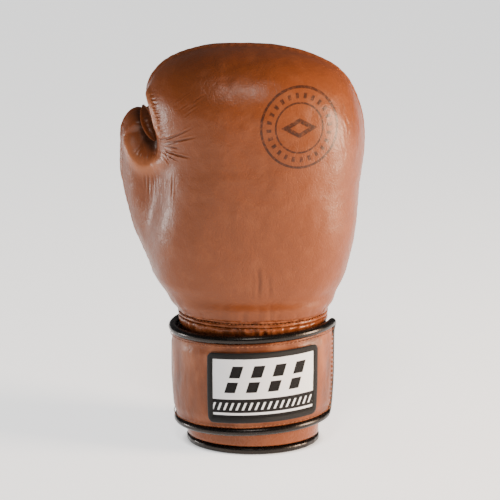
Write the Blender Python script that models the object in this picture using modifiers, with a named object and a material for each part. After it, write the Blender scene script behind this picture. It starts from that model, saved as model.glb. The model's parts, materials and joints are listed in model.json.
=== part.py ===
"""A right-hand boxing glove with a wrap-around hook-and-loop wrist strap.

The glove stands on its cuff with the fingers up. +Z runs from the hem to the knuckles, the back of the
hand faces -Y, the palm +Y, and the thumb is on the -X side. All sizes are in metres. Angles round the
wrist start at the little-finger side (+X) and turn through the palm (+Y) to the thumb side (-X) and
the back (-Y).
"""

import math

import bmesh
import bpy
from mathutils import Vector

# Overall sizes
GLOVE_LENGTH = 0.300
NECK_HEIGHT = 0.101
FIST_HALF_WIDTH = 0.080
FIST_BACK_DEPTH = 0.064
FIST_PALM_DEPTH = 0.062
CUFF_HALF_WIDTH = 0.0515
CUFF_HALF_DEPTH = 0.0415
HEM_HALF_WIDTH = 0.0490
HEM_HALF_DEPTH = 0.0395
NECK_FLARE = 0.0035

# Materials laid on each other, and the clearance that keeps them apart
LEATHER = 0.0015
LINING = 0.0010
LAYER_GAP = 0.0004
CUFF_FOAM = 0.0060
BACK_PAD = 0.034
TOP_PAD = 0.030
SIDE_PAD = 0.030
FINGER_PAD = 0.022
PALM_PAD = 0.010

# Seams between the mitt's panels
SEAM_GAP = 0.0008
SIDE_SEAM_Y = 0.008
FINGER_SEAM_Z = 0.172
WELT_RADIUS = 0.0014

# Hem and slit
HEM_BINDING_HEIGHT = 0.0055
HEM_BINDING_WALL = 0.0105
BINDING_ROUND = 0.0018
SLIT_HALF_GAP_AT_HEM = 0.0075
SLIT_HALF_GAP_AT_NECK = 0.0040
SLIT_BINDING_RADIUS = 0.0052
GUSSET_THICKNESS = 0.0014
GUSSET_LAP_DEG = 9.0

# Wrist strap
STRAP_BOTTOM = 0.0205
STRAP_HEIGHT = 0.0705
STRAP_RISE = 0.0024
STRAP_CORE = 0.0020
PIPING_RADIUS = 0.0030
PIPING_CORNER = 0.0042
FASTENER = 0.0007
STRAP_ROOT_DEG = 38.0
STRAP_HINGE_DEG = 62.0
STRAP_FOLD_DEG = 186.0
STRAP_END_DEG = 352.0
STRAP_JOINT_GAP = 0.0018
HOOK_SPAN_DEG = (302.0, 345.0)
LOOP_SPAN_DEG = (255.0, 382.0)
FASTENER_HEIGHT = 0.044

# Woven label on the strap
LABEL_SPAN_DEG = (236.5, 320.5)
LABEL_HEIGHT = 0.0535
LABEL_DROP = 0.0005
LABEL_THICKNESS = 0.0010
LABEL_BORDER = 0.0048

# Thumb pod
THUMB_RADIUS = 0.0255
THUMB_CAVITY_RADIUS = 0.0120
THUMB_ROOT_RADIUS = 0.0240
THUMB_ROOT_HEIGHT = 0.120
THUMB_TIP_HEIGHT = 0.257
THUMB_OVERHANG = 0.017
THUMB_PALM_OFFSET = 0.014
THUMB_GAP = 0.0020
THUMB_FOOT_SHARE = 0.80
LOCK_HEIGHT = 0.020
LOCK_THICKNESS = 0.0014

# Grip bar and palm vents
GRIP_RADIUS = 0.008
GRIP_HALF_LENGTH = 0.034
GRIP_HEIGHT = 0.182
GRIP_WALL_GAP = 0.0030
VENT_HOLE_RADIUS = 0.0015
VENT_BARREL_RADIUS = 0.0024
VENT_FLANGE_RADIUS = 0.0038
VENT_FLANGE_THICKNESS = 0.0007
VENT_PITCH = 0.014
VENT_HEIGHT = 0.128
VENT_COLUMNS = 3
VENT_ROWS = 2

# Fineness of the curved meshes
MITT_SEGMENTS = 28
MITT_ROWS = 12
THUMB_SEGMENTS = 16
THUMB_ROWS = 9
THUMB_TUBE_SHARE = 0.62
DEG_PER_COLUMN = 9.0

SQUARENESS = 2.35
CUTTER_MARGIN = 0.05

# Shares of the mitt at stations from the neck to the crown:
# height, thumb side, little-finger side, back, palm. The sides are shares of the fist's half-width.
MITT_STATIONS = (
    (0.00, None, None, None, None),
    (0.055, 0.77, 0.74, 0.70, 0.66),
    (0.14, 0.83, 0.83, 0.78, 0.68),
    (0.28, 0.86, 0.905, 0.88, 0.71),
    (0.44, 0.87, 0.955, 0.95, 0.76),
    (0.59, 0.89, 1.00, 0.99, 0.93),
    (0.72, 0.96, 1.01, 1.00, 1.00),
    (0.81, 1.00, 0.97, 0.98, 0.98),
    (0.88, 0.95, 0.88, 0.90, 0.90),
    (0.935, 0.83, 0.72, 0.76, 0.76),
    (0.972, 0.64, 0.47, 0.56, 0.56),
    (0.993, 0.40, 0.14, 0.29, 0.31),
    (1.00, 0.15, -0.15, 0.0, 0.0),
)

COLOURS = {
    "leather": ((0.42, 0.15, 0.06), 0.42, 0.0),
    "black_leather": ((0.02, 0.02, 0.022), 0.35, 0.0),
    "foam": ((0.78, 0.72, 0.55), 0.95, 0.0),
    "firm_foam": ((0.25, 0.27, 0.30), 0.95, 0.0),
    "lining": ((0.03, 0.03, 0.03), 0.85, 0.0),
    "elastic": ((0.04, 0.04, 0.045), 0.9, 0.0),
    "hook_tape": ((0.02, 0.02, 0.02), 0.8, 0.0),
    "loop_tape": ((0.03, 0.03, 0.03), 0.95, 0.0),
    "label_white": ((0.85, 0.85, 0.86), 0.8, 0.0),
    "label_black": ((0.02, 0.02, 0.02), 0.8, 0.0),
    "eyelet": ((0.10, 0.09, 0.08), 0.35, 1.0),
}


def smooth_step(share):
    share = min(1.0, max(0.0, share))
    return share * share * (3.0 - 2.0 * share)


def through_stations(values, share):
    """A smooth curve through evenly spaced values, read at a share from 0 to 1."""
    last = len(values) - 1
    place = min(max(share, 0.0), 1.0) * last
    i = min(int(place), last - 1)
    t = place - i
    before = values[max(i - 1, 0)]
    a, b = values[i], values[i + 1]
    after = values[min(i + 2, last)]
    return a + 0.5 * t * (
        b - before + t * (2 * before - 5 * a + 4 * b - after + t * (3 * (a - b) + after - before))
    )


# ---------------------------------------------------------------- scene helpers


def clear_scene():
    for obj in list(bpy.data.objects):
        bpy.data.objects.remove(obj)


def make_collection(name):
    collection = bpy.data.collections.new(name)
    bpy.context.scene.collection.children.link(collection)
    return collection


def material(name):
    made = bpy.data.materials.get(name)
    if made is None:
        colour, roughness, metallic = COLOURS[name]
        made = bpy.data.materials.new(name)
        made.use_nodes = True
        shader = made.node_tree.nodes["Principled BSDF"]
        shader.inputs["Base Color"].default_value = (*colour, 1.0)
        shader.inputs["Roughness"].default_value = roughness
        shader.inputs["Metallic"].default_value = metallic
        made.diffuse_color = (*colour, 1.0)
    return made


def add_part(name, data, finish):
    """A visible sub-part, standing in the glove's own frame."""
    obj = bpy.data.objects.new(name, data)
    data.materials.append(material(finish))
    PARTS.objects.link(obj)
    obj.parent = GLOVE
    return obj


def add_cutter(name, data):
    obj = bpy.data.objects.new(name, data)
    CUTTERS.objects.link(obj)
    obj.parent = GLOVE
    obj.hide_render = True
    obj.display_type = "WIRE"
    return obj


def mesh_from(bm, name):
    bmesh.ops.recalc_face_normals(bm, faces=bm.faces[:])
    mesh = bpy.data.meshes.new(name)
    bm.to_mesh(mesh)
    bm.free()
    mesh.shade_smooth()
    mesh.set_sharp_from_angle(angle=math.radians(50))
    return mesh


def cut(obj, cutter, operation="DIFFERENCE"):
    modifier = obj.modifiers.new(f"{operation.lower()} {cutter.name}", "BOOLEAN")
    modifier.object = cutter
    modifier.operation = operation
    modifier.solver = "EXACT"


def box_cutter(name, low, high):
    bm = bmesh.new()
    bmesh.ops.create_cube(bm, size=1.0)
    low, high = Vector(low), Vector(high)
    for v in bm.verts:
        v.co = Vector(low[k] + (v.co[k] + 0.5) * (high[k] - low[k]) for k in range(3))
    return add_cutter(name, mesh_from(bm, name))


def tube(name, points, radius, finish, cyclic=False):
    """A round cord through the points."""
    curve = bpy.data.curves.new(name, "CURVE")
    curve.dimensions = "3D"
    curve.bevel_depth = radius
    curve.bevel_resolution = 2
    curve.use_fill_caps = True
    spline = curve.splines.new("POLY")
    spline.points.add(len(points) - 1)
    for place, point in zip(spline.points, points):
        place.co = (*point, 1.0)
    spline.use_cyclic_u = cyclic
    return add_part(name, curve, finish)


# ---------------------------------------------------------------- cuff geometry


def cuff_axes(z):
    """Half-width and half-depth of the cuff's outer face at a height."""
    belly = smooth_step(z / (0.55 * NECK_HEIGHT))
    flare = NECK_FLARE * smooth_step((z - 0.80 * NECK_HEIGHT) / (0.20 * NECK_HEIGHT))
    width = HEM_HALF_WIDTH + (CUFF_HALF_WIDTH - HEM_HALF_WIDTH) * belly + flare
    depth = HEM_HALF_DEPTH + (CUFF_HALF_DEPTH - HEM_HALF_DEPTH) * belly + flare
    return width, depth


def on_cuff(degrees, z, out, axes_z=None):
    """A point at a distance out from the cuff's outer face, at a height."""
    angle = math.radians(degrees)
    width, depth = cuff_axes(z if axes_z is None else axes_z)
    normal = Vector((depth * math.cos(angle), width * math.sin(angle), 0.0)).normalized()
    return Vector((width * math.cos(angle), depth * math.sin(angle), z)) + out * normal


def arc_per_degree(degrees, z, out):
    step = 0.5
    return (on_cuff(degrees + step, z, out) - on_cuff(degrees - step, z, out)).length / (2 * step)


def close_between(bm, rim, twin):
    """Walls between the edges of a rim and their copies."""
    for edge in rim:
        start, end = edge.verts
        bm.faces.new((start, end, twin[end], twin[start]))


def curved_panel(name, span, heights, out, thickness, finish, rows=4, place=on_cuff):
    """A sheet that follows the cuff, with level rims. span and heights give its edges, each as a pair of
    numbers or, for span, a function of the height. Its inner face is out from the cuff's outer face."""
    bm = bmesh.new()
    low, high = heights
    edges = span if callable(span) else lambda z: span
    widest = max(edges(z)[1] - edges(z)[0] for z in (low, high))
    columns = max(2, round(widest / DEG_PER_COLUMN))
    bmesh.ops.create_grid(bm, x_segments=columns, y_segments=rows, size=0.5)
    rim = [e for e in bm.edges if e.is_boundary]
    inner = bm.verts[:]
    twin = bmesh.ops.duplicate(bm, geom=bm.verts[:] + bm.edges[:] + bm.faces[:])["vert_map"]
    close_between(bm, rim, twin)
    for v in inner:
        z = low + (v.co.y + 0.5) * (high - low)
        start, end = edges(z)
        degrees = start + (v.co.x + 0.5) * (end - start)
        v.co = place(degrees, z, out)
        twin[v].co = place(degrees, z, out + thickness)
    mesh = mesh_from(bm, name)
    return add_part(name, mesh, finish) if finish else add_cutter(name, mesh)


# Depths of the cuff's layers below its outer face
CUFF_FOAM_OUT = -(LEATHER + LAYER_GAP)
CUFF_LINING_OUT = CUFF_FOAM_OUT - CUFF_FOAM - LAYER_GAP
CUFF_WALL = LEATHER + CUFF_FOAM + LINING + 2 * LAYER_GAP
WALL_BOTTOM = HEM_BINDING_HEIGHT + 3 * LAYER_GAP
WELT_BAND = 2 * WELT_RADIUS + 1.5 * LAYER_GAP
WALL_TOP = NECK_HEIGHT - WELT_BAND
PALM_DEG = 90.0


def slit_edges(inset):
    """The cuff wall's ends, on each side of the slit in the palm, as a function of the height."""

    def edges(z):
        share = z / NECK_HEIGHT
        half_gap = SLIT_HALF_GAP_AT_HEM + (SLIT_HALF_GAP_AT_NECK - SLIT_HALF_GAP_AT_HEM) * share
        half = math.degrees((half_gap + inset) / cuff_axes(z)[0])
        return PALM_DEG + half, PALM_DEG + 360.0 - half

    return edges


def build_cuff():
    wall = slit_edges(2 * SLIT_BINDING_RADIUS + LAYER_GAP)
    heights = (WALL_BOTTOM, WALL_TOP)
    curved_panel("cuff_leather", wall, heights, -LEATHER, LEATHER, "leather")
    curved_panel("cuff_foam", wall, heights, CUFF_FOAM_OUT - CUFF_FOAM, CUFF_FOAM, "foam")
    curved_panel("cuff_lining", wall, heights, CUFF_LINING_OUT - LINING, LINING, "lining")
    build_hem_binding()
    build_slit()


def build_hem_binding():
    """The rolled band round the mouth. Its underside is flat, and the glove stands on it."""

    def upright(degrees, z, out):
        return on_cuff(degrees, z, out, axes_z=0.0)

    overlap = 0.5 * (HEM_BINDING_WALL - CUFF_WALL)
    part = curved_panel(
        "hem_binding",
        slit_edges(0.0),
        (0.0, HEM_BINDING_HEIGHT),
        overlap - HEM_BINDING_WALL,
        HEM_BINDING_WALL,
        "black_leather",
        rows=1,
        place=upright,
    )
    rounding = part.modifiers.new("rounding", "BEVEL")
    rounding.width = BINDING_ROUND
    rounding.segments = 1
    rounding.limit_method = "ANGLE"
    rounding.angle_limit = math.radians(60)


def build_slit():
    """Bound edges on both sides of the slit, with an elastic gusset behind them."""
    steps = 7
    bottom = WALL_BOTTOM + SLIT_BINDING_RADIUS
    top = WALL_TOP - LAYER_GAP
    middle = -0.5 * CUFF_WALL
    edges = slit_edges(SLIT_BINDING_RADIUS)
    heights = [bottom + (top - bottom) * i / (steps - 1) for i in range(steps)]
    for side, name in enumerate(("slit_binding_thumb_side", "slit_binding_little_side")):
        points = [on_cuff(edges(z)[side], z, middle) for z in heights]
        tube(name, points, SLIT_BINDING_RADIUS - LAYER_GAP, "black_leather")
    half = math.degrees((SLIT_HALF_GAP_AT_HEM + 2 * SLIT_BINDING_RADIUS) / HEM_HALF_WIDTH)
    span = (PALM_DEG - half - GUSSET_LAP_DEG, PALM_DEG + half + GUSSET_LAP_DEG)
    inner = -CUFF_WALL - 0.5 * (HEM_BINDING_WALL - CUFF_WALL) - 2 * LAYER_GAP - GUSSET_THICKNESS
    heights = (2 * WALL_BOTTOM, WALL_TOP)
    curved_panel("slit_gusset", span, heights, inner, GUSSET_THICKNESS, "elastic", rows=4)


# ---------------------------------------------------------------- wrist strap

STRAP_OUT = 2 * FASTENER + 6 * LAYER_GAP
CORE_OUT = STRAP_OUT + LINING + LAYER_GAP
STRAP_LEATHER_OUT = CORE_OUT + STRAP_CORE + LAYER_GAP
STRAP_FACE = STRAP_LEATHER_OUT + LEATHER
STRAP_MIDDLE = 0.5 * (STRAP_OUT + STRAP_FACE)
STRAP_TOP = STRAP_BOTTOM + STRAP_HEIGHT


def on_strap(degrees, z, out):
    """As on_cuff, on the strap's own line, which climbs a little towards the little finger."""
    point = on_cuff(degrees, z, out)
    point.z += STRAP_RISE * point.x / CUFF_HALF_WIDTH
    return point


def past(degrees, distance, out=STRAP_MIDDLE):
    """The angle a distance further along the strap."""
    z = STRAP_BOTTOM + 0.5 * STRAP_HEIGHT
    return degrees + distance / arc_per_degree(degrees, z, out)


def hinge_point(degrees):
    """The middle of an upright joint axis that touches the outside of the top piping, its widest place."""
    point = on_cuff(degrees, STRAP_TOP, STRAP_MIDDLE + PIPING_RADIUS)
    point.z = STRAP_BOTTOM + 0.5 * STRAP_HEIGHT
    return point


def strap_layers(prefix, start, end):
    """Lining, felt core and leather of one stretch of the strap."""
    edge = PIPING_RADIUS + LAYER_GAP
    heights = (STRAP_BOTTOM + edge, STRAP_TOP - edge)
    span = (start, end)
    curved_panel(prefix + "_lining", span, heights, STRAP_OUT, LINING, "lining", 4, on_strap)
    curved_panel(prefix + "_core", span, heights, CORE_OUT, STRAP_CORE, "firm_foam", 4, on_strap)
    curved_panel(prefix + "_leather", span, heights, STRAP_LEATHER_OUT, LEATHER, "leather", 4, on_strap)


def edge_run(start, end, z):
    """Points along one edge of the strap."""
    steps = max(2, round(abs(end - start) / DEG_PER_COLUMN))
    return [on_strap(start + (end - start) * i / steps, z, STRAP_MIDDLE) for i in range(steps + 1)]


def end_piping(start, end):
    """The piping's line along the top edge, round the strap's free end and back along the bottom."""
    corner_deg = PIPING_CORNER / arc_per_degree(end, STRAP_BOTTOM, STRAP_MIDDLE)
    turn = [math.radians(a) for a in (22.5, 45.0, 67.5, 90.0)]
    points = edge_run(start, end - corner_deg, STRAP_TOP)
    for a in turn:
        z = STRAP_TOP - PIPING_CORNER * (1 - math.cos(a))
        points.append(on_strap(end - corner_deg * (1 - math.sin(a)), z, STRAP_MIDDLE))
    middle_steps = 4
    straight = STRAP_HEIGHT - 2 * PIPING_CORNER
    for i in range(1, middle_steps):
        z = STRAP_TOP - PIPING_CORNER - straight * i / middle_steps
        points.append(on_strap(end, z, STRAP_MIDDLE))
    for a in reversed(turn):
        z = STRAP_BOTTOM + PIPING_CORNER * (1 - math.cos(a))
        points.append(on_strap(end - corner_deg * (1 - math.sin(a)), z, STRAP_MIDDLE))
    return points + edge_run(end - corner_deg, start, STRAP_BOTTOM)


def build_strap():
    half = STRAP_JOINT_GAP
    edge = PIPING_RADIUS + LAYER_GAP
    root_end = past(STRAP_HINGE_DEG, -half)
    palm_start, palm_end = past(STRAP_HINGE_DEG, half), past(STRAP_FOLD_DEG, -half)
    back_start = past(STRAP_FOLD_DEG, half)
    root_start = past(STRAP_ROOT_DEG, edge)
    strap_layers("strap_root", root_start, root_end)
    strap_layers("strap_palm", palm_start, palm_end)
    strap_layers("strap_back", back_start, past(STRAP_END_DEG, -edge))
    for where, z in (("top", STRAP_TOP), ("bottom", STRAP_BOTTOM)):
        line = edge_run(STRAP_ROOT_DEG, root_end, z)
        tube(f"strap_root_piping_{where}", line, PIPING_RADIUS, "black_leather")
        line = edge_run(palm_start, palm_end, z)
        tube(f"strap_palm_piping_{where}", line, PIPING_RADIUS, "black_leather")
    tube("strap_back_piping", end_piping(back_start, STRAP_END_DEG), PIPING_RADIUS, "black_leather")
    build_fastener()
    build_label()


def build_fastener():
    """Loop tape sewn to the cuff, and hook tape on the inside of the strap's free end."""
    middle = STRAP_BOTTOM + 0.5 * STRAP_HEIGHT
    heights = (middle - 0.5 * FASTENER_HEIGHT, middle + 0.5 * FASTENER_HEIGHT)
    curved_panel("loop_tape", LOOP_SPAN_DEG, heights, 2 * LAYER_GAP, FASTENER, "loop_tape")
    hook_out = 4 * LAYER_GAP + FASTENER
    curved_panel("hook_tape", HOOK_SPAN_DEG, heights, hook_out, FASTENER, "hook_tape", 4, on_strap)


def build_label():
    """A woven patch with a raised merrowed border."""
    middle = STRAP_BOTTOM + 0.5 * STRAP_HEIGHT - LABEL_DROP
    out = STRAP_FACE + 2 * LAYER_GAP
    low, high = middle - 0.5 * LABEL_HEIGHT, middle + 0.5 * LABEL_HEIGHT
    start, end = LABEL_SPAN_DEG
    per_degree = arc_per_degree(0.5 * (start + end), middle, out)

    def inside(distance):
        turn = distance / per_degree
        return (start + turn, end - turn), (low + distance, high - distance)

    border_rim = 1.4 * LABEL_THICKNESS
    span, heights = inside(0.0)
    border = curved_panel("label_border", span, heights, out, border_rim, "label_black", 4, on_strap)
    span, heights = inside(LABEL_BORDER)
    window = curved_panel("label_window", span, heights, out - border_rim, 3 * border_rim, None, 4, on_strap)
    cut(border, window)
    span, heights = inside(LABEL_BORDER + LAYER_GAP)
    curved_panel("label_ground", span, heights, out, LABEL_THICKNESS, "label_white", 4, on_strap)


# ---------------------------------------------------------------- mitt geometry

MITT_BOTTOM = NECK_HEIGHT + WELT_BAND
POLE_PALM_SHIFT = 0.010
CROWN_DEPTH = 0.060


def station_columns():
    """The stations as five lists of metres: height, thumb side, little-finger side, back and palm."""
    neck_width, neck_depth = cuff_axes(NECK_HEIGHT)
    columns = ([], [], [], [], [])
    for share, thumb, little, back, palm in MITT_STATIONS:
        if thumb is None:
            row = (-neck_width, neck_width, -neck_depth, neck_depth)
        else:
            row = (
                -thumb * FIST_HALF_WIDTH,
                little * FIST_HALF_WIDTH,
                -back * FIST_BACK_DEPTH + POLE_PALM_SHIFT * share,
                palm * FIST_PALM_DEPTH + POLE_PALM_SHIFT * share,
            )
        height = MITT_BOTTOM + share * (GLOVE_LENGTH - MITT_BOTTOM)
        for column, value in zip(columns, (height, *row)):
            column.append(value)
    return columns


def rounded(value):
    """Cosine or sine of a squarish closed curve."""
    return math.copysign(abs(value) ** (2.0 / SQUARENESS), value)


def mitt_point(share, angle):
    z, thumb, little, back, palm = (through_stations(c, share) for c in STATIONS)
    x = 0.5 * (thumb + little) + 0.5 * (little - thumb) * rounded(math.cos(angle))
    y = 0.5 * (back + palm) + 0.5 * (palm - back) * rounded(math.sin(angle))
    return Vector((x, y, z))


def mitt_spine(share):
    """The middle of the mitt at a height, up to the centre of the crown's rounding."""
    z, thumb, little, back, palm = (through_stations(c, share) for c in STATIONS)
    return Vector((0.5 * (thumb + little), 0.5 * (back + palm), min(z, GLOVE_LENGTH - CROWN_DEPTH)))


def padding(share, angle):
    """Thickness of the foam under the leather: thick over the knuckles, thin in the palm."""
    towards_palm = math.sin(angle)
    upper = smooth_step((share - 0.30) / 0.30)
    if towards_palm < 0:
        full = SIDE_PAD + (BACK_PAD - SIDE_PAD) * smooth_step(-towards_palm)
    else:
        front = PALM_PAD + (FINGER_PAD - PALM_PAD) * upper
        full = SIDE_PAD + (front - SIDE_PAD) * smooth_step(towards_palm)
    full += (TOP_PAD - full) * smooth_step((share - 0.68) / 0.22)
    return CUFF_FOAM + (full - CUFF_FOAM) * smooth_step(share / 0.34)


def dome(point, spine, segments, rows):
    """An open-ended dome. Every vertex keeps its share of the height, its angle and the point of the
    spine that it faces."""
    bm = bmesh.new()
    bmesh.ops.create_uvsphere(bm, u_segments=segments, v_segments=2 * rows, radius=1.0)
    below = [v for v in bm.verts if v.co.z < -0.001]
    bmesh.ops.delete(bm, geom=below, context="VERTS")
    shares = bm.verts.layers.float.new("share")
    angles = bm.verts.layers.float.new("angle")
    spines = bm.verts.layers.float_vector.new("spine")
    for v in bm.verts:
        v[shares] = math.asin(min(1.0, max(0.0, v.co.z))) / (0.5 * math.pi)
        v[angles] = math.atan2(v.co.y, v.co.x)
    for v in bm.verts:
        v.co = point(v[shares], v[angles])
        v[spines] = spine(v[shares])
    bmesh.ops.triangulate(bm, faces=bm.faces[:])
    bm.normal_update()
    return bm


def inward(bm, depth):
    """Where each vertex of a dome lies at a depth under its face, on the way to the spine. Below the
    spine's end that way is level, so the rim stays level."""
    shares = bm.verts.layers.float["share"]
    angles = bm.verts.layers.float["angle"]
    spines = bm.verts.layers.float_vector["spine"]
    places = []
    for v in bm.verts:
        way = (v[spines] - v.co).normalized()
        slant = max(0.5, -way.dot(v.normal))
        places.append(v.co + way * depth(v[shares], v[angles]) / slant)
    return places


def dome_shell(base, outer, inner):
    """A closed shell between two depths under a dome."""
    bm = base.copy()
    outside, inside = inward(bm, outer), inward(bm, inner)
    skin = bm.verts[:]
    rim = [e for e in bm.edges if e.is_boundary]
    twin = bmesh.ops.duplicate(bm, geom=bm.verts[:] + bm.edges[:] + bm.faces[:])["vert_map"]
    close_between(bm, rim, twin)
    for v, far, near in zip(skin, outside, inside):
        v.co = far
        twin[v].co = near
    return bm


def dome_solid(base, depth, drop=0.0):
    """A solid plug of a dome at a depth. Its open end is lowered by drop and closed."""
    bm = base.copy()
    shares = bm.verts.layers.float["share"]
    for v, place in zip(bm.verts[:], inward(bm, depth)):
        v.co = place
        if v[shares] < 1e-4:
            v.co.z -= drop
    bmesh.ops.holes_fill(bm, edges=[e for e in bm.edges if e.is_boundary])
    return bm


def fixed(depth):
    return lambda share, angle: depth


def foam_depth(part):
    """Depth at a share of the way through the foam."""
    return lambda share, angle: LEATHER + LAYER_GAP + part * padding(share, angle)


def lining_depth(extra):
    return lambda share, angle: LEATHER + 4 * LAYER_GAP + padding(share, angle) + extra


def thumb_axis(share):
    """Centre and radius of the thumb pod on the way from its root to the centre of its round tip."""
    tip_x = -(FIST_HALF_WIDTH + THUMB_OVERHANG - THUMB_RADIUS)
    root_x = -(CUFF_HALF_WIDTH - 0.0085)
    bend = smooth_step(share / 0.75)
    ease = 0.5 * (bend + min(1.0, share / 0.75))
    x = root_x + (tip_x - root_x) * ease
    y = THUMB_PALM_OFFSET * (0.35 + 0.65 * bend)
    z = THUMB_ROOT_HEIGHT + share * (THUMB_TIP_HEIGHT - THUMB_RADIUS - THUMB_ROOT_HEIGHT)
    radius = THUMB_ROOT_RADIUS + (THUMB_RADIUS - THUMB_ROOT_RADIUS) * bend
    return Vector((x, y, z)), radius


def thumb_spine(share):
    return thumb_axis(min(1.0, share / THUMB_TUBE_SHARE))[0]


def thumb_point(share, angle):
    """The lower part of the dome is the pod's tube, and the rest its round tip."""
    centre, radius = thumb_axis(min(1.0, share / THUMB_TUBE_SHARE))
    lift = 0.5 * math.pi * max(0.0, (share - THUMB_TUBE_SHARE) / (1.0 - THUMB_TUBE_SHARE))
    reach = radius * math.cos(lift)
    return centre + Vector((reach * math.cos(angle), reach * math.sin(angle), radius * math.sin(lift)))


def build_mitt_cutters():
    """Half-spaces that part the panels at their seams, and the room kept for the thumb and the hand."""
    reach = 3 * FIST_HALF_WIDTH
    half = 0.5 * SEAM_GAP
    top = GLOVE_LENGTH + CUTTER_MARGIN
    seam, low = SIDE_SEAM_Y, NECK_HEIGHT - CUTTER_MARGIN
    thumb_base = dome(thumb_point, thumb_spine, THUMB_SEGMENTS, THUMB_ROWS)
    envelope = dome_solid(thumb_base, fixed(-THUMB_GAP), drop=THUMB_GAP)
    mitt_base = dome(mitt_point, mitt_spine, MITT_SEGMENTS, MITT_ROWS)
    space = dome_solid(mitt_base, lining_depth(LINING), drop=CUTTER_MARGIN)
    return {
        "back": box_cutter("back_side", (-reach, -reach, low), (reach, seam - half, top)),
        "fingers": box_cutter(
            "finger_side", (-reach, seam + half, FINGER_SEAM_Z + half), (reach, reach, top)
        ),
        "palm": box_cutter("palm_side", (-reach, seam + half, low), (reach, reach, FINGER_SEAM_Z - half)),
        "thumb": add_cutter("thumb_room", mesh_from(envelope, "thumb_room")),
        "hand": add_cutter("hand_room", mesh_from(space, "hand_room")),
    }


def build_mitt(cutters):
    """Leather and foam in panels round the lining of the hand compartment."""
    base = dome(mitt_point, mitt_spine, MITT_SEGMENTS, MITT_ROWS)
    split = 0.5
    gap_share = foam_split_gap()
    layers = (
        ("back_panel", "back", fixed(0.0), fixed(LEATHER), "leather"),
        ("finger_panel", "fingers", fixed(0.0), fixed(LEATHER), "leather"),
        ("palm_panel", "palm", fixed(0.0), fixed(LEATHER), "leather"),
        ("knuckle_foam_outer", "back", foam_depth(0.0), foam_depth(split), "foam"),
        ("knuckle_foam_inner", "back", foam_depth(split + gap_share), foam_depth(1.0), "firm_foam"),
        ("finger_foam", "fingers", foam_depth(0.0), foam_depth(1.0), "foam"),
        ("palm_foam", "palm", foam_depth(0.0), foam_depth(1.0), "foam"),
        ("hand_lining", None, lining_depth(0.0), lining_depth(LINING), "lining"),
    )
    made = {}
    for name, side, outer, inner, finish in layers:
        part = add_part(name, mesh_from(dome_shell(base, outer, inner), name), finish)
        cut(part, cutters["thumb"])
        if side:
            cut(part, cutters[side], "INTERSECT")
        made[name] = part
    return made


def foam_split_gap():
    """The share of the foam's thickness that leaves the layer gap between its two layers at the neck."""
    return LAYER_GAP / CUFF_FOAM


def build_thumb(cutters):
    """The thumb pod: two leather halves on a foam sleeve and a lining."""
    base = dome(thumb_point, thumb_spine, THUMB_SEGMENTS, THUMB_ROWS)
    lining_outer = THUMB_RADIUS - THUMB_CAVITY_RADIUS - LINING
    layers = (
        ("thumb_back_panel", 0.0, LEATHER, "leather"),
        ("thumb_palm_panel", 0.0, LEATHER, "leather"),
        ("thumb_foam", LEATHER + LAYER_GAP, lining_outer - LAYER_GAP, "foam"),
        ("thumb_lining", lining_outer, lining_outer + LINING, "lining"),
    )
    reach = 3 * FIST_HALF_WIDTH
    half = 0.5 * SEAM_GAP
    seam = THUMB_PALM_OFFSET
    low, top = THUMB_ROOT_HEIGHT - CUTTER_MARGIN, GLOVE_LENGTH
    halves = {
        "thumb_back_panel": box_cutter("thumb_back", (-reach, -reach, low), (reach, seam - half, top)),
        "thumb_palm_panel": box_cutter("thumb_front", (-reach, seam + half, low), (reach, reach, top)),
    }
    for name, outer, inner, finish in layers:
        part = add_part(name, mesh_from(dome_shell(base, fixed(outer), fixed(inner)), name), finish)
        cut(part, cutters["hand"])
        if name in halves:
            cut(part, halves[name], "INTERSECT")


def build_neck_welts():
    """Two thin leather welts in the seam between the mitt and the cuff."""
    steps = 36
    for name, side in (("neck_welt_upper", 1.0), ("neck_welt_lower", -1.0)):
        z = NECK_HEIGHT + side * (WELT_RADIUS + 0.5 * LAYER_GAP)
        points = [on_cuff(360.0 * i / steps, z, -WELT_RADIUS) for i in range(steps)]
        tube(name, points, WELT_RADIUS, "leather", cyclic=True)


def build_thumb_lock():
    """The short strap that ties the thumb to the side of the fist, across the crease between them."""
    lift = 2 * LAYER_GAP + 0.5 * LOCK_THICKNESS
    middle = THUMB_TIP_HEIGHT - 1.1 * THUMB_RADIUS
    centre, radius = thumb_axis(1.0)
    bm = bmesh.new()
    rows = []
    for z in (middle - 0.5 * LOCK_HEIGHT, middle, middle + 0.5 * LOCK_HEIGHT):
        level = radius * math.cos(math.asin(max(0.0, z - centre.z) / radius)) + lift
        row = []
        for degrees in (218.0, 230.0, 242.0, 252.0):
            angle = math.radians(degrees)
            row.append(Vector((centre.x + level * math.cos(angle), centre.y + level * math.sin(angle), z)))
        for degrees in (201.0, 208.0):
            row.append(side_point(degrees, z, lift))
        rows.append([bm.verts.new((p.x, p.y, z)) for p in row])
    for lower, upper in zip(rows, rows[1:]):
        for i in range(len(lower) - 1):
            bm.faces.new((lower[i], lower[i + 1], upper[i + 1], upper[i]))
    part = add_part("thumb_lock", mesh_from(bm, "thumb_lock"), "leather")
    solid = part.modifiers.new("thickness", "SOLIDIFY")
    solid.thickness = LOCK_THICKNESS
    solid.offset = 0.0


def share_at(height):
    """The mitt's share of the way from rim to crown at a height."""
    low, high = 0.0, 0.9
    for _ in range(30):
        middle = 0.5 * (low + high)
        if mitt_point(middle, 0.0).z < height:
            low = middle
        else:
            high = middle
    return low


def mitt_normal(share, angle):
    step = 0.01
    across = mitt_point(share, angle + step) - mitt_point(share, angle - step)
    up = mitt_point(share + step, angle) - mitt_point(share - step, angle)
    return across.cross(up).normalized()


def side_point(degrees, height, lift):
    """A point lift above the mitt's leather, at a height and an angle round it."""
    share, angle = share_at(height), math.radians(degrees)
    normal = mitt_normal(share, angle)
    normal.z = 0.0
    return mitt_point(share, angle) + normal.normalized() * lift


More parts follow.
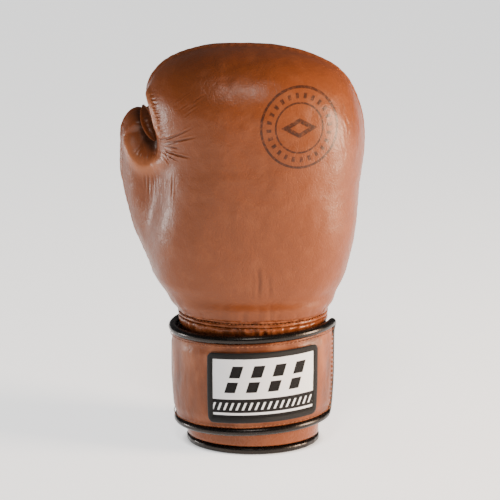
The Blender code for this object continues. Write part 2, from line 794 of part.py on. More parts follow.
def palm_wall(height, reach, depth):
    """The y of points across the palm at a height, within a reach of (low x, high x) and at a depth."""
    share = share_at(height)
    found = []
    for degrees in range(10, 171):
        angle = math.radians(degrees)
        point = mitt_point(share, angle)
        way = (mitt_spine(share) - point).normalized()
        point += way * depth(share, angle) / -way.dot(mitt_normal(share, angle))
        if reach[0] <= point.x <= reach[1]:
            found.append(point.y)
    return found


def build_grip_bar():
    """A firm roll across the palm that the fingers close on, inside the hand compartment."""
    reach = (-GRIP_HALF_LENGTH, GRIP_HALF_LENGTH)
    levels = (GRIP_HEIGHT - GRIP_RADIUS, GRIP_HEIGHT, GRIP_HEIGHT + GRIP_RADIUS)
    wall = min(min(palm_wall(z, reach, lining_depth(LINING))) for z in levels)
    y = wall - GRIP_RADIUS - GRIP_WALL_GAP
    ends = (Vector((x, y, GRIP_HEIGHT)) for x in reach)
    tube("grip_bar", list(ends), GRIP_RADIUS, "firm_foam")


def build_vents(made):
    """Small eyelets that let the palm breathe. Each sits in a hole through the palm."""
    number = 0
    for row in range(VENT_ROWS):
        for column in range(VENT_COLUMNS):
            number += 1
            x = (column - 0.5 * (VENT_COLUMNS - 1)) * VENT_PITCH
            z = VENT_HEIGHT + row * VENT_PITCH
            reach = (x - VENT_FLANGE_RADIUS, x + VENT_FLANGE_RADIUS)
            y = max(palm_wall(z, reach, fixed(0.0)))
            eyelet(f"vent_eyelet_{number}", x, y, z)
            hole = vent_cutter(f"vent_hole_{number}", x, y, z)
            for name in ("palm_panel", "palm_foam", "hand_lining"):
                cut(made[name], hole)


def eyelet(name, x, y, z):
    """A flanged ring, turned about its own hole."""
    seat = 2 * LAYER_GAP
    flange_top = seat + VENT_FLANGE_THICKNESS
    profile = (
        (VENT_HOLE_RADIUS, flange_top),
        (VENT_FLANGE_RADIUS, flange_top),
        (VENT_FLANGE_RADIUS, seat),
        (VENT_BARREL_RADIUS, seat),
        (VENT_BARREL_RADIUS, -2 * LEATHER),
        (VENT_HOLE_RADIUS, -2 * LEATHER),
    )
    mesh = bpy.data.meshes.new(name)
    count = len(profile)
    mesh.from_pydata([(r, 0.0, h) for r, h in profile], [(i, (i + 1) % count) for i in range(count)], [])
    part = add_part(name, mesh, "eyelet")
    turn = part.modifiers.new("turn", "SCREW")
    turn.steps = 12
    turn.render_steps = 12
    turn.use_merge_vertices = True
    turn.merge_threshold = 0.00001
    part.location = (x, y, z)
    part.rotation_euler = (-0.5 * math.pi, 0.0, 0.0)


def vent_cutter(name, x, y, z):
    bm = bmesh.new()
    radius = VENT_BARREL_RADIUS + LAYER_GAP
    bmesh.ops.create_cone(
        bm, cap_ends=True, segments=12, radius1=radius, radius2=radius, depth=2 * PALM_PAD + 8 * LEATHER
    )
    cutter = add_cutter(name, mesh_from(bm, name))
    cutter.location = (x, y, z)
    cutter.rotation_euler = (0.5 * math.pi, 0.0, 0.0)
    return cutter


def hang(pivot_name, point, parent, prefixes):
    """Hangs the pieces that turn together from an empty on their joint's axis. They stay where they are."""
    pivot = bpy.data.objects.new(pivot_name, None)
    bpy.context.scene.collection.objects.link(pivot)
    pivot.parent = parent
    pivot.matrix_parent_inverse = parent.matrix_world.inverted()
    pivot.location = point
    bpy.context.view_layer.update()
    for obj in PARTS.objects:
        if obj.name.startswith(prefixes):
            obj.parent = pivot
            obj.matrix_parent_inverse = pivot.matrix_world.inverted()
    return pivot


def hang_moving_pieces():
    """The thumb leans out about its outer foot. The strap lifts at its root, then peels back at its fold."""
    thumb_foot = Vector((-THUMB_FOOT_SHARE * FIST_HALF_WIDTH, 0.0, THUMB_ROOT_HEIGHT - THUMB_GAP))
    hang("thumb_pivot", thumb_foot, GLOVE, ("thumb_",))
    lift = hang("strap_lift_pivot", hinge_point(STRAP_HINGE_DEG), GLOVE, ("strap_palm_",))
    free_end = ("strap_back_", "hook_", "label_")
    hang("strap_peel_pivot", hinge_point(STRAP_FOLD_DEG), lift, free_end)


def centre_on_origin():
    """Moves the glove so that the origin is under the middle of its box."""
    bpy.context.view_layer.update()
    graph = bpy.context.evaluated_depsgraph_get()
    low, high = Vector((1e3,) * 3), Vector((-1e3,) * 3)
    for obj in PARTS.objects:
        evaluated = obj.evaluated_get(graph)
        mesh = evaluated.to_mesh()
        for v in mesh.vertices:
            point = evaluated.matrix_world @ v.co
            low = Vector(map(min, low, point))
            high = Vector(map(max, high, point))
        evaluated.to_mesh_clear()
    GLOVE.location = (-0.5 * (low.x + high.x), -0.5 * (low.y + high.y), -low.z)


clear_scene()
PARTS = make_collection("boxing_glove")
CUTTERS = make_collection("cutters")
GLOVE = bpy.data.objects.new("glove", None)
bpy.context.scene.collection.objects.link(GLOVE)
STATIONS = station_columns()

build_cuff()
build_neck_welts()
build_strap()
ROOM = build_mitt_cutters()
MITT = build_mitt(ROOM)
build_vents(MITT)
build_grip_bar()
build_thumb(ROOM)
build_thumb_lock()
hang_moving_pieces()
centre_on_origin()
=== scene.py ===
"""The looks of the boxing glove: leather, padding, piping, strap, label, linings, lights and camera.

Row frame: +Z from the hem to the fingertips, -Y the back of the hand, +Y the palm, -X the thumb.
Sizes are in metres. Angles round the wrist start at +X and turn through the palm (+Y).
"""

import json
import math
import random

import bmesh
import bpy
import numpy as np
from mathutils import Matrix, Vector, noise
from mathutils.bvhtree import BVHTree


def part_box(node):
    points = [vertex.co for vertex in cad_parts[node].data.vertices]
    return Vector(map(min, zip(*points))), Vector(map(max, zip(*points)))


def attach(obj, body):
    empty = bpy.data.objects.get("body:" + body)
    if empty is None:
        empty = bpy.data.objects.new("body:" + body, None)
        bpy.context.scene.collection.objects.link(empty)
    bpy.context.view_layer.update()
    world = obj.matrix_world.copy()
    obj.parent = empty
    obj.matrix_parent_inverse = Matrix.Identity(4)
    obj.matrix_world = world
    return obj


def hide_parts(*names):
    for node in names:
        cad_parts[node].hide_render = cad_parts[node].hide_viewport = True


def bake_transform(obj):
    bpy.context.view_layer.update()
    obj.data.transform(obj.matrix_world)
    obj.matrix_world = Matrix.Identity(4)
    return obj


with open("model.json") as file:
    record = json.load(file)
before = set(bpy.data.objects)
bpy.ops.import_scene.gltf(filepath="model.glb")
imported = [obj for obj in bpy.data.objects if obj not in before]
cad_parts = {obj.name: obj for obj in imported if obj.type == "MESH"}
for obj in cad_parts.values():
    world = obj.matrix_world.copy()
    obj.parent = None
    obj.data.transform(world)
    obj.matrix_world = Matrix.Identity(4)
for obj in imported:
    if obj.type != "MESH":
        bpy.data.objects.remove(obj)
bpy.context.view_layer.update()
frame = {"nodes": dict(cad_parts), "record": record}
AXIS = np.array(next(m["pos_m"] for m in frame["record"]["mounts"] if m["name"] == "hand_opening"))
UP = np.array((0.0, 0.0, 1.0))

# ---------------------------------------------------------------- sizes, as in the CAD

LENGTH, NECK = 0.300, 0.101
FIST_WIDTH, FIST_BACK, FIST_PALM = 0.080, 0.064, 0.062
CUFF_WIDTH, CUFF_DEPTH, HEM_WIDTH, HEM_DEPTH, FLARE = 0.0515, 0.0415, 0.0490, 0.0395, 0.0035
LEATHER, LINING, GAP, CUFF_FOAM = 0.0015, 0.0010, 0.0004, 0.0060
CUFF_WALL = LEATHER + CUFF_FOAM + LINING + 2 * GAP
HEM_HEIGHT, HEM_WALL = 0.0055, 0.0105
WELT = 0.0014
MITT_BOTTOM = NECK + 2 * WELT + 1.5 * GAP
WALL_BOTTOM, WALL_TOP = HEM_HEIGHT + 3 * GAP, NECK - 2 * WELT - 1.5 * GAP
SLIT_HEM, SLIT_NECK, SLIT_RADIUS = 0.0075, 0.0040, 0.0052
STRAP_LOW, STRAP_TALL, STRAP_RISE, PIPING = 0.0205, 0.0705, 0.0024, 0.0030
STRAP_OUT, CORE_OUT, STRAP_FACE, STRAP_MIDDLE = 0.0038, 0.0052, 0.0091, 0.00645
MITT_POWER, THUMB_TILT, THUMB_DOME = 2.0 / 2.35, 0.014, 0.62
STRAP_HIGH, STRAP_MID = STRAP_LOW + STRAP_TALL, STRAP_LOW + 0.5 * STRAP_TALL
ROOT_DEG, HINGE_DEG, LAP_DEG, FOLD_DEG, END_DEG = 38.0, 62.0, 128.0, 186.0, 352.0
LABEL_DEG, LABEL_TALL, LABEL_DROP, LABEL_BORDER = (236.5, 320.5), 0.0535, 0.0005, 0.0048
SIDE_SEAM_Y, FINGER_SEAM_Z = 0.008, 0.172
STATIONS = (
    (0.055, 0.77, 0.74, 0.70, 0.66),
    (0.14, 0.83, 0.83, 0.78, 0.68),
    (0.28, 0.86, 0.905, 0.88, 0.71),
    (0.44, 0.87, 0.955, 0.95, 0.76),
    (0.59, 0.89, 1.00, 0.99, 0.93),
    (0.72, 0.96, 1.01, 1.00, 1.00),
    (0.81, 1.00, 0.97, 0.98, 0.98),
    (0.88, 0.95, 0.88, 0.90, 0.90),
    (0.935, 0.83, 0.72, 0.76, 0.76),
    (0.972, 0.64, 0.47, 0.56, 0.56),
    (0.993, 0.40, 0.14, 0.29, 0.31),
    (1.00, 0.15, -0.15, 0.0, 0.0),
)
THUMB_RADIUS, THUMB_ROOT_RADIUS, THUMB_ROOT_Z, THUMB_TIP_Z = 0.0255, 0.0240, 0.120, 0.257

SEED = 71


def smooth(t):
    t = np.clip(t, 0.0, 1.0)
    return t * t * (3.0 - 2.0 * t)


def squarer(t, power):
    """A sine or cosine bent so that a circle becomes a rounded square."""
    return np.sign(t) * np.abs(t) ** power


def cuff_axes(z):
    """Half the cuff's width and depth at a height."""
    belly = smooth(z / (0.55 * NECK))
    flare = FLARE * smooth((z - 0.80 * NECK) / (0.20 * NECK))
    width = HEM_WIDTH + (CUFF_WIDTH - HEM_WIDTH) * belly + flare
    depth = HEM_DEPTH + (CUFF_DEPTH - HEM_DEPTH) * belly + flare
    return width, depth


def on_cuff(degrees, z, out):
    """Points at a distance out from the cuff's outer face. The arguments broadcast."""
    degrees, z, out = np.broadcast_arrays(degrees, z, out)
    angle = np.radians(degrees)
    width, depth = cuff_axes(z)
    c, s = np.cos(angle), np.sin(angle)
    size = np.hypot(depth * c, width * s)
    return np.stack((width * c + out * depth * c / size, depth * s + out * width * s / size, z), -1) + AXIS


def on_strap(degrees, z, out):
    points = on_cuff(degrees, z, out)
    points[..., 2] += STRAP_RISE * (points[..., 0] - AXIS[0]) / CUFF_WIDTH
    return points


def arc_per_degree(degrees, z=STRAP_MID, out=STRAP_MIDDLE):
    return float(np.linalg.norm(on_cuff(degrees + 0.5, z, out) - on_cuff(degrees - 0.5, z, out)))


def noise_at(points, scale, seed=0.0, octaves=1):
    """Smooth noise, about -1 to 1, at each point."""
    flat = points.reshape(-1, 3) * scale + seed * 7.31
    if octaves == 1:
        found = [noise.noise(Vector(p)) for p in flat.tolist()]
    else:
        found = [noise.fractal(Vector(p), 0.8, 2.1, octaves) for p in flat.tolist()]
    return np.array(found).reshape(points.shape[:-1])


# ---------------------------------------------------------------- materials


class Finish:
    """A material built node by node."""

    def __init__(self, name, **values):
        self.material = bpy.data.materials.new(name)
        self.material.use_nodes = True
        self.tree = self.material.node_tree
        self.shader = self.tree.nodes["Principled BSDF"]
        for socket, value in values.items():
            self.shader.inputs[socket.replace("_", " ")].default_value = value

    def node(self, kind, settings=None, **inputs):
        made = self.tree.nodes.new("ShaderNode" + kind)
        for key, value in (settings or {}).items():
            setattr(made, key, value)
        for key, value in inputs.items():
            self.feed(made.inputs[int(key[1:]) if key[0] == "_" else key.replace("_", " ")], value)
        return made

    def feed(self, socket, value):
        if isinstance(value, bpy.types.NodeSocket):
            self.tree.links.new(value, socket)
        else:
            socket.default_value = value

    def coords(self, kind="Object"):
        return self.node("TexCoord").outputs[kind]

    def noise(self, where, scale, detail=3.0, rough=0.5, distortion=0.0):
        return self.node(
            "TexNoise", Vector=where, Scale=scale, Detail=detail, Roughness=rough, Distortion=distortion
        ).outputs["Fac"]

    def cells(self, where, scale, feature="F1"):
        made = self.node("TexVoronoi", {"feature": feature}, Vector=where, Scale=scale)
        return made.outputs["Distance"]

    def math(self, operation, a, b=0.0, clamp=False):
        made = self.node("Math", {"operation": operation, "use_clamp": clamp})
        for socket, value in zip(made.inputs, (a, b)):
            self.feed(socket, value)
        return made.outputs[0]

    def times(self, a, b):
        return self.math("MULTIPLY", a, b)

    def plus(self, a, b, clamp=False):
        return self.math("ADD", a, b, clamp=clamp)

    def minus(self, a, b, clamp=False):
        return self.math("SUBTRACT", a, b, clamp=clamp)

    def ramp(self, value, low, high, out_low=0.0, out_high=1.0):
        limits = {"From_Min": low, "From_Max": high, "To_Min": out_low, "To_Max": out_high}
        return self.node("MapRange", {"clamp": True}, Value=value, **limits).outputs[0]

    def mix(self, factor, a, b, blend="MIX"):
        made = self.node("Mix", {"data_type": "RGBA", "blend_type": blend})
        self.feed(made.inputs[0], factor)
        self.feed(made.inputs[6], a)
        self.feed(made.inputs[7], b)
        return made.outputs[2]

    def bump(self, height, strength, distance, normal=None):
        made = self.node("Bump", Height=height, Strength=strength, Distance=distance)
        if normal is not None:
            self.feed(made.inputs["Normal"], normal)
        return made.outputs["Normal"]

    def stretch(self, where, scale):
        return self.node("Mapping", Vector=where, Scale=scale).outputs[0]

    def attribute(self, name):
        return self.node("Attribute", {"attribute_name": name}).outputs["Fac"]

    def set(self, socket, value):
        self.feed(self.shader.inputs[socket], value)


def rgb(r, g, b):
    """A display colour, 0 to 255, as linear light."""
    channels = (c / 255.0 for c in (r, g, b))
    return (*(c / 12.92 if c <= 0.04045 else ((c + 0.055) / 1.055) ** 2.4 for c in channels), 1.0)


def scaled(colour, factor):
    return [min(1.0, c * factor) for c in colour[:3]] + [1.0]


def leather_finish(name, dark, base, light, rough, grain=1.0, print_mark=False):
    """Satin leather: pebbled grain and fine crossing creases, with painted shade in folds and hollows and
    painted highlight on ridges and swellings.
    """
    f = Finish(name, Coat_Weight=0.07, Coat_Roughness=0.25)
    f.shader.inputs["Specular IOR Level"].default_value = 0.30
    f.shader.inputs["Specular Tint"].default_value = (1.0, 0.84, 0.74, 1.0)
    where = f.coords()
    wobble = f.node("TexNoise", Vector=where, Scale=90.0, Detail=2.0)
    shrink = f.node("VectorMath", {"operation": "SCALE"}, _0=wobble.outputs["Color"], Scale=0.006)
    bent = f.node("VectorMath", {"operation": "ADD"}, _0=where, _1=shrink.outputs[0]).outputs[0]
    cloud = f.noise(where, 13.0, 4.0, 0.5)
    mottle = f.noise(where, 85.0, 5.0, 0.6)
    pebble = f.cells(bent, 640.0)
    fine = f.cells(bent, 1500.0)
    crease = f.cells(f.stretch(bent, (1.0, 1.0, 0.6)), 240.0, "DISTANCE_TO_EDGE")
    crease = f.ramp(crease, 0.0, 0.09)
    patch = f.ramp(f.noise(where, 24.0, 2.0), 0.42, 0.66)
    colour = f.mix(f.ramp(cloud, 0.34, 0.66, 0.20, 0.0), base, dark)
    colour = f.mix(f.ramp(mottle, 0.5, 0.8, 0.0, 0.10), colour, light)
    # Painted shade and highlight: a per-vertex tone from the sculpting darkens folds, creases and hollows
    # toward deep brown and lightens ridges toward light tan.
    fold_shading = f.attribute("fold_shading")
    colour = f.mix(f.ramp(fold_shading, 0.5, 0.0, 0.0, 0.9), colour, scaled(dark, 0.22))
    colour = f.mix(f.ramp(fold_shading, 0.5, 1.0, 0.0, 0.5), colour, light)
    pit = f.ramp(pebble, 0.0, 0.35, 0.12, 0.0)
    colour = f.mix(pit, colour, dark)
    if print_mark:
        colour = print_on(f, where, colour)
    f.set("Base Color", colour)
    shine = f.plus(f.ramp(mottle, 0.3, 0.7, -0.04, 0.06), f.ramp(crease, 0.0, 1.0, 0.06, 0.0))
    f.set("Roughness", f.plus(shine, rough, clamp=True))
    bump = f.bump(fine, 0.20 * grain, 0.00012)
    bump = f.bump(pebble, 0.40 * grain, 0.00020, bump)
    bump = f.bump(f.times(crease, patch), 0.30 * grain, 0.00026, bump)
    bump = f.bump(f.noise(where, 210.0, 3.0, 0.6), 0.22 * grain, 0.0006, bump)
    f.set("Normal", bump)
    return f.material


def print_on(f, where, colour):
    """A plain round print on the knuckles: two rings and a ring of ticks round a lozenge."""
    split = f.node("SeparateXYZ", Vector=where)
    x = f.minus(split.outputs["X"], MARK[0])
    z = f.minus(split.outputs["Z"], MARK[2])
    z = f.times(z, MARK_STRETCH)
    front = f.math("LESS_THAN", split.outputs["Y"], 0.0)
    radius = f.math("SQRT", f.plus(f.times(x, x), f.times(z, z)))

    def ring(middle, half):
        away = f.math("ABSOLUTE", f.minus(radius, middle))
        return f.ramp(away, half, half * 0.6)

    angle = f.math("ARCTAN2", z, x)
    ticks = f.ramp(f.math("SINE", f.times(angle, 24.0)), 0.1, 0.45)
    ticks = f.times(ticks, ring(MARK_RADIUS * 0.80, 0.0022))
    size = f.plus(f.math("ABSOLUTE", x), f.times(f.math("ABSOLUTE", z), 1.9))
    lozenge = f.ramp(size, MARK_RADIUS * 0.50, MARK_RADIUS * 0.46)
    hollow = f.ramp(size, MARK_RADIUS * 0.22, MARK_RADIUS * 0.26)
    ink = f.times(lozenge, hollow)
    for part in (ring(MARK_RADIUS, 0.0011), ring(MARK_RADIUS * 0.62, 0.0008), ticks):
        ink = f.math("MAXIMUM", ink, part)
    worn = f.ramp(f.noise(where, 420.0, 4.0, 0.7), 0.34, 0.52, 0.35, 0.88)
    ink = f.times(f.times(ink, front), worn)
    return f.mix(ink, colour, rgb(42, 24, 18))


def cloth_finish(name, colour, scale, rough, bump=0.5, sheen=0.0, depth=0.0003):
    """Woven or knitted cloth, from two crossed bands."""
    f = Finish(name, Roughness=rough)
    f.shader.inputs["Sheen Weight"].default_value = sheen
    f.shader.inputs["Sheen Roughness"].default_value = 0.5
    where = f.coords()
    warp = f.node("TexWave", {"bands_direction": "DIAGONAL"}, Vector=where, Scale=scale, Distortion=0.6)
    weft = f.node(
        "TexWave",
        {"bands_direction": "DIAGONAL"},
        Vector=f.stretch(where, (1.0, 1.0, -1.0)),
        Scale=scale,
        Distortion=0.6,
    )
    weave = f.times(warp.outputs["Fac"], weft.outputs["Fac"])
    fuzz = f.noise(where, 900.0, 4.0, 0.7)
    tone = f.plus(f.times(weave, 0.5), f.times(fuzz, 0.5))
    f.set("Base Color", f.mix(tone, scaled(colour, 0.45), scaled(colour, 1.35)))
    f.set("Normal", f.bump(fuzz, 0.3 * bump, depth, f.bump(weave, bump, depth)))
    return f.material


def label_finish():
    """Woven patch: white field with bold slanted blocks over a dark band with a thin light line."""
    f = Finish("label_white", Roughness=0.75)
    f.shader.inputs["Specular IOR Level"].default_value = 0.12
    f.shader.inputs["Sheen Weight"].default_value = 0.1
    uv = f.coords("UV")
    split = f.node("SeparateXYZ", Vector=uv)
    u, v = split.outputs["X"], split.outputs["Y"]
    lean = f.plus(f.times(u, 5.0), f.times(v, -0.9))
    phase = f.math("FRACT", lean)
    block = f.times(f.ramp(phase, 0.20, 0.23), f.ramp(phase, 0.74, 0.71))
    high = f.times(f.ramp(v, 0.42, 0.435), f.ramp(v, 0.88, 0.865))
    wide = f.times(f.ramp(lean, 0.0, 0.02), f.ramp(lean, 4.0, 3.98))
    notch = f.minus(1.0, f.times(f.ramp(v, 0.60, 0.61), f.ramp(v, 0.68, 0.67)))
    ink = f.times(f.times(block, high), f.times(wide, notch))
    band = f.ramp(v, 0.325, 0.315)
    line = f.times(f.ramp(v, 0.045, 0.055), f.ramp(v, 0.095, 0.085))
    dash = f.math("FRACT", f.plus(f.times(u, 17.0), f.times(v, -4.0)))
    dashes = f.times(f.ramp(dash, 0.25, 0.30), f.ramp(dash, 0.66, 0.61))
    dashes = f.times(dashes, f.times(f.ramp(v, 0.13, 0.14), f.ramp(v, 0.265, 0.255)))
    ink = f.math("MAXIMUM", ink, band)
    for mark in (line, dashes):
        ink = f.minus(ink, f.times(mark, 0.95), clamp=True)
    frayed = f.noise(f.stretch(uv, (300.0, 120.0, 1.0)), 1.0, 2.0)
    thread_u = f.math("SINE", f.times(u, 760.0))
    thread_v = f.math("SINE", f.times(v, 640.0))
    weave = f.times(thread_u, thread_v)
    ink = f.ramp(f.plus(ink, f.times(f.minus(frayed, 0.5), 0.5)), 0.35, 0.65)
    white = f.mix(f.ramp(weave, -1.0, 1.0), rgb(226, 226, 228), rgb(253, 253, 254))
    black = f.mix(f.ramp(weave, -1.0, 1.0), rgb(6, 5, 6), rgb(26, 24, 24))
    f.set("Base Color", f.mix(ink, white, black))
    f.set("Normal", f.bump(frayed, 0.2, 0.0003, f.bump(weave, 0.45, 0.00025)))
    return f.material


def thread_finish(name, colour, twist=900.0):
    f = Finish(name, Roughness=0.6)
    f.shader.inputs["Specular IOR Level"].default_value = 0.2
    f.shader.inputs["Sheen Weight"].default_value = 0.08
    where = f.coords()
    wave = f.node("TexWave", {"bands_direction": "DIAGONAL"}, Vector=where, Scale=twist, Distortion=1.5)
    strand = wave.outputs["Fac"]
    f.set("Base Color", f.mix(strand, scaled(colour, 0.5), colour))
    f.set("Normal", f.bump(strand, 0.6, 0.0002))
    return f.material


def metal_finish():
    f = Finish("eyelet", Metallic=1.0)
    scuff = f.noise(f.coords(), 600.0, 4.0, 0.6)
    f.set("Base Color", f.mix(f.ramp(scuff, 0.4, 0.7), rgb(70, 62, 54), rgb(146, 128, 104)))
    f.set("Roughness", f.ramp(scuff, 0.3, 0.7, 0.28, 0.5))
    f.set("Normal", f.bump(scuff, 0.15, 0.0001))
    return f.material


MARK, MARK_RADIUS, MARK_STRETCH = (0.0405, -0.055, 0.2465), 0.0268, 0.97
TAN_DARK, TAN, TAN_LIGHT = rgb(90, 45, 21), rgb(113, 57, 27), rgb(188, 118, 80)
LOOKS = {
    "mitt": leather_finish("mitt_leather", TAN_DARK, TAN, TAN_LIGHT, 0.36, 1.0, True),
    "leather": leather_finish("leather", TAN_DARK, TAN, TAN_LIGHT, 0.36, 1.0),
    "neck": leather_finish("neck_leather", TAN_DARK, TAN, TAN_LIGHT, 0.24, 0.6),
    "black_leather": leather_finish(
        "black_leather", rgb(5, 4, 4), rgb(9, 8, 8), rgb(24, 21, 20), 0.24, 0.28
    ),
    "lining": cloth_finish("lining", rgb(38, 37, 38), 420.0, 0.75, 0.6, 0.2),
    "elastic": cloth_finish("elastic", rgb(34, 33, 35), 260.0, 0.8, 0.8, 0.2),
    "hook_tape": cloth_finish("hook_tape", rgb(26, 26, 27), 700.0, 0.7, 1.0, 0.1, 0.0006),
    "loop_tape": cloth_finish("loop_tape", rgb(32, 31, 32), 500.0, 0.95, 0.9, 0.5, 0.0008),
    "label_white": label_finish(),
    "label_black": thread_finish("label_black", rgb(17, 15, 15)),
    "thread": thread_finish("thread", rgb(150, 88, 52)),
    "eyelet": metal_finish(),
}


# ---------------------------------------------------------------- piece helpers


def new_piece(name, verts, faces, look, fold_shading=None, uvs=None):
    """A smooth-shaded mesh object in the row frame."""
    mesh = bpy.data.meshes.new(name)
    mesh.from_pydata(np.asarray(verts).tolist(), [], faces)
    mesh.update()
    if uvs is not None:
        layer = mesh.uv_layers.new(name="UVMap")
        loops = np.empty(len(mesh.loops), np.int32)
        mesh.loops.foreach_get("vertex_index", loops)
        layer.data.foreach_set("uv", np.asarray(uvs, np.float32)[loops].ravel())
    return finish_piece(name, mesh, look, fold_shading)


def finish_piece(name, mesh, look, fold_shading=None):
    # Per-vertex painted shade (below 0.5) and painted highlight (above 0.5), which the leather finishes read.
    shade = mesh.attributes.new("fold_shading", "FLOAT", "POINT")
    values = np.full(len(mesh.vertices), 0.5) if fold_shading is None else np.clip(0.5 + fold_shading, 0.0, 1.0)
    shade.data.foreach_set("value", values.astype(np.float32))
    mesh.shade_smooth()
    mesh.materials.append(LOOKS[look])
    obj = bpy.data.objects.new(name, mesh)
    bpy.context.scene.collection.objects.link(obj)
    return obj


def grid_faces(nu, nv, start=0, wrap=False, flip=False):
    """Quads of a grid whose vertex (i, j) is start + i * nv + j."""
    i, j = np.meshgrid(np.arange(nu if wrap else nu - 1), np.arange(nv - 1), indexing="ij")
    a = start + i * nv + j
    b = start + ((i + 1) % nu) * nv + j
    quads = np.stack((a, b, b + 1, a + 1), -1).reshape(-1, 4)
    return (quads[:, ::-1] if flip else quads).tolist()


def ring_faces(n, sides, cyclic=False, flip=False):
    """Quads between rings of vertices, with end caps unless the rings close on themselves."""
    i, j = np.meshgrid(np.arange(n if cyclic else n - 1), np.arange(sides), indexing="ij")
    a, b = i * sides + j, ((i + 1) % n) * sides + j
    a2, b2 = i * sides + (j + 1) % sides, ((i + 1) % n) * sides + (j + 1) % sides
    faces = np.stack((a, b, b2, a2) if flip else (a, a2, b2, b), -1).reshape(-1, 4).tolist()
    if not cyclic:
        first, last = tuple(range(sides)), tuple(range((n - 1) * sides, n * sides))
        faces += [first, last[::-1]] if flip else [first[::-1], last]
    return faces


def sheet_body(name, outer, inner, look, fold_shading=None, wrap=False):
    """A closed sheet between two grids of points."""
    nu, nv = outer.shape[:2]
    count = nu * nv
    verts = np.concatenate((outer.reshape(-1, 3), inner.reshape(-1, 3)))
    faces = grid_faces(nu, nv, 0, wrap) + grid_faces(nu, nv, count, wrap, True)
    index = np.arange(count).reshape(nu, nv)
    rims = [index[:, 0], index[::-1, -1]]
    if wrap:
        rims = [np.append(r, r[0]) for r in rims]
    else:
        rims += [index[-1, :], index[0, ::-1]]
    for rim in rims:
        for a, b in zip(rim[:-1].tolist(), rim[1:].tolist()):
            faces.append((b, a, a + count, b + count))
    u, v = np.meshgrid(np.linspace(0, 1, nu), np.linspace(0, 1, nv), indexing="ij")
    uvs = np.tile(np.stack((u, v), -1).reshape(-1, 2), (2, 1))
    if fold_shading is not None:
        fold_shading = np.concatenate((fold_shading.ravel(), np.zeros(count)))
    return new_piece(name, verts, faces, look, fold_shading, uvs)


def frames_along(path, cyclic, up):
    ahead = np.roll(path, -1, 0) - np.roll(path, 1, 0)
    if not cyclic:
        ahead[0], ahead[-1] = path[1] - path[0], path[-1] - path[-2]
    ahead /= np.linalg.norm(ahead, axis=1, keepdims=True)
    up = np.broadcast_to(up, path.shape)
    side = np.cross(ahead, up)
    side /= np.linalg.norm(side, axis=1, keepdims=True)
    return ahead, side, np.cross(side, ahead)


def tube(name, path, radius, look, up, sides=14, cyclic=False, squash=1.0, fold_shading=None):
    """A round cord along a path with rounded ends. radius may be an array over (path, sides)."""
    path = np.asarray(path)
    n = len(path)
    radius = np.broadcast_to(radius, (n, sides)).astype(float).copy()
    if not cyclic:
        steps = np.linalg.norm(np.diff(path, axis=0), axis=1)
        along = np.concatenate(([0.0], np.cumsum(steps)))
        end = np.minimum(along, along[-1] - along)
        reach = radius.mean(1)
        radius *= np.sqrt(np.clip(1 - np.clip(1 - end / reach, 0, 1) ** 2, 0.02, 1))[:, None]
    _, side, top = frames_along(path, cyclic, up)
    turn = np.linspace(0, 2 * math.pi, sides, endpoint=False)
    ring = path[:, None] + radius[..., None] * (
        np.cos(turn)[None, :, None] * side[:, None] + squash * np.sin(turn)[None, :, None] * top[:, None]
    )
    faces = ring_faces(n, sides, cyclic)
    return new_piece(name, ring.reshape(-1, 3), faces, look, None if fold_shading is None else np.repeat(fold_shading, sides))


def resampled(path, pitch, cyclic=False):
    """The path with points at an even pitch."""
    path = np.asarray(path, float)
    if cyclic:
        path = np.vstack((path, path[:1]))
    along = np.concatenate(([0.0], np.cumsum(np.linalg.norm(np.diff(path, axis=0), axis=1))))
    count = max(3, int(round(along[-1] / pitch)) + 1)
    at = np.linspace(0, along[-1], count)
    made = np.stack([np.interp(at, along, path[:, k]) for k in range(3)], -1)
    return made[:-1] if cyclic else made


def stitches(name, path, outward, look="thread", pitch=0.0034, length=0.0024, radius=0.00042, cyclic=False):
    """A row of stitches that lie along a path, each a small half-sunk loop of thread."""
    path = resampled(path, pitch, cyclic)
    if callable(outward):
        outward = outward(path)
    ahead, side, top = frames_along(path, cyclic, outward)
    rings, sides = 5, 6
    s = np.linspace(-1, 1, rings)
    wide = np.sqrt(np.clip(1 - s**2, 0.06, 1)) * radius
    lift = (1 - s**2) * radius * 0.9
    turn = np.linspace(0, 2 * math.pi, sides, endpoint=False)
    local = np.stack(
        (
            np.repeat(s * length * 0.5, sides),
            (wide[:, None] * np.cos(turn)).ravel(),
            (lift[:, None] + wide[:, None] * np.sin(turn)).ravel(),
        ),
        -1,
    )
    verts = path[:, None] + (
        local[None, :, 0:1] * ahead[:, None]
        + local[None, :, 1:2] * side[:, None]
        + local[None, :, 2:3] * top[:, None]
    )
    one = []
    for i in range(rings - 1):
        for j in range(sides):
            a, b = i * sides + j, i * sides + (j + 1) % sides
            one.append((a, b, b + sides, a + sides))
    one += [tuple(range(sides))[::-1], tuple(range((rings - 1) * sides, rings * sides))]
    count = rings * sides
    faces = [tuple(k + v for v in face) for k in range(0, len(path) * count, count) for face in one]
    return new_piece(name, verts.reshape(-1, 3), faces, look)


# ---------------------------------------------------------------- mitt and thumb


def through(rows, place):
    """A smooth curve through rows of numbers, read at places counted in rows."""
    last = len(rows) - 1
    i = np.minimum(place.astype(int), last - 1)
    t = (place - i)[..., None]
    before, a = rows[np.maximum(i - 1, 0)], rows[i]
    b, after = rows[i + 1], rows[np.minimum(i + 2, last)]
    bend = 2 * before - 5 * a + 4 * b - after + t * (3 * (a - b) + after - before)
    return a + 0.5 * t * (b - before + t * bend)


def station_columns():
    width, depth = cuff_axes(NECK)
    rows = [(MITT_BOTTOM, -width, width, -depth, depth)]
    for share, thumb, little, back, palm in STATIONS:
        lean = 0.010 * share
        z = MITT_BOTTOM + share * (LENGTH - MITT_BOTTOM)
        sides = (-thumb * FIST_WIDTH, little * FIST_WIDTH)
        rows.append((z, *sides, -back * FIST_BACK + lean, palm * FIST_PALM + lean))
    return np.array(rows)


COLUMNS = station_columns()


def read_stations(share):
    return through(COLUMNS, np.clip(share, 0, 1) * (len(COLUMNS) - 1))


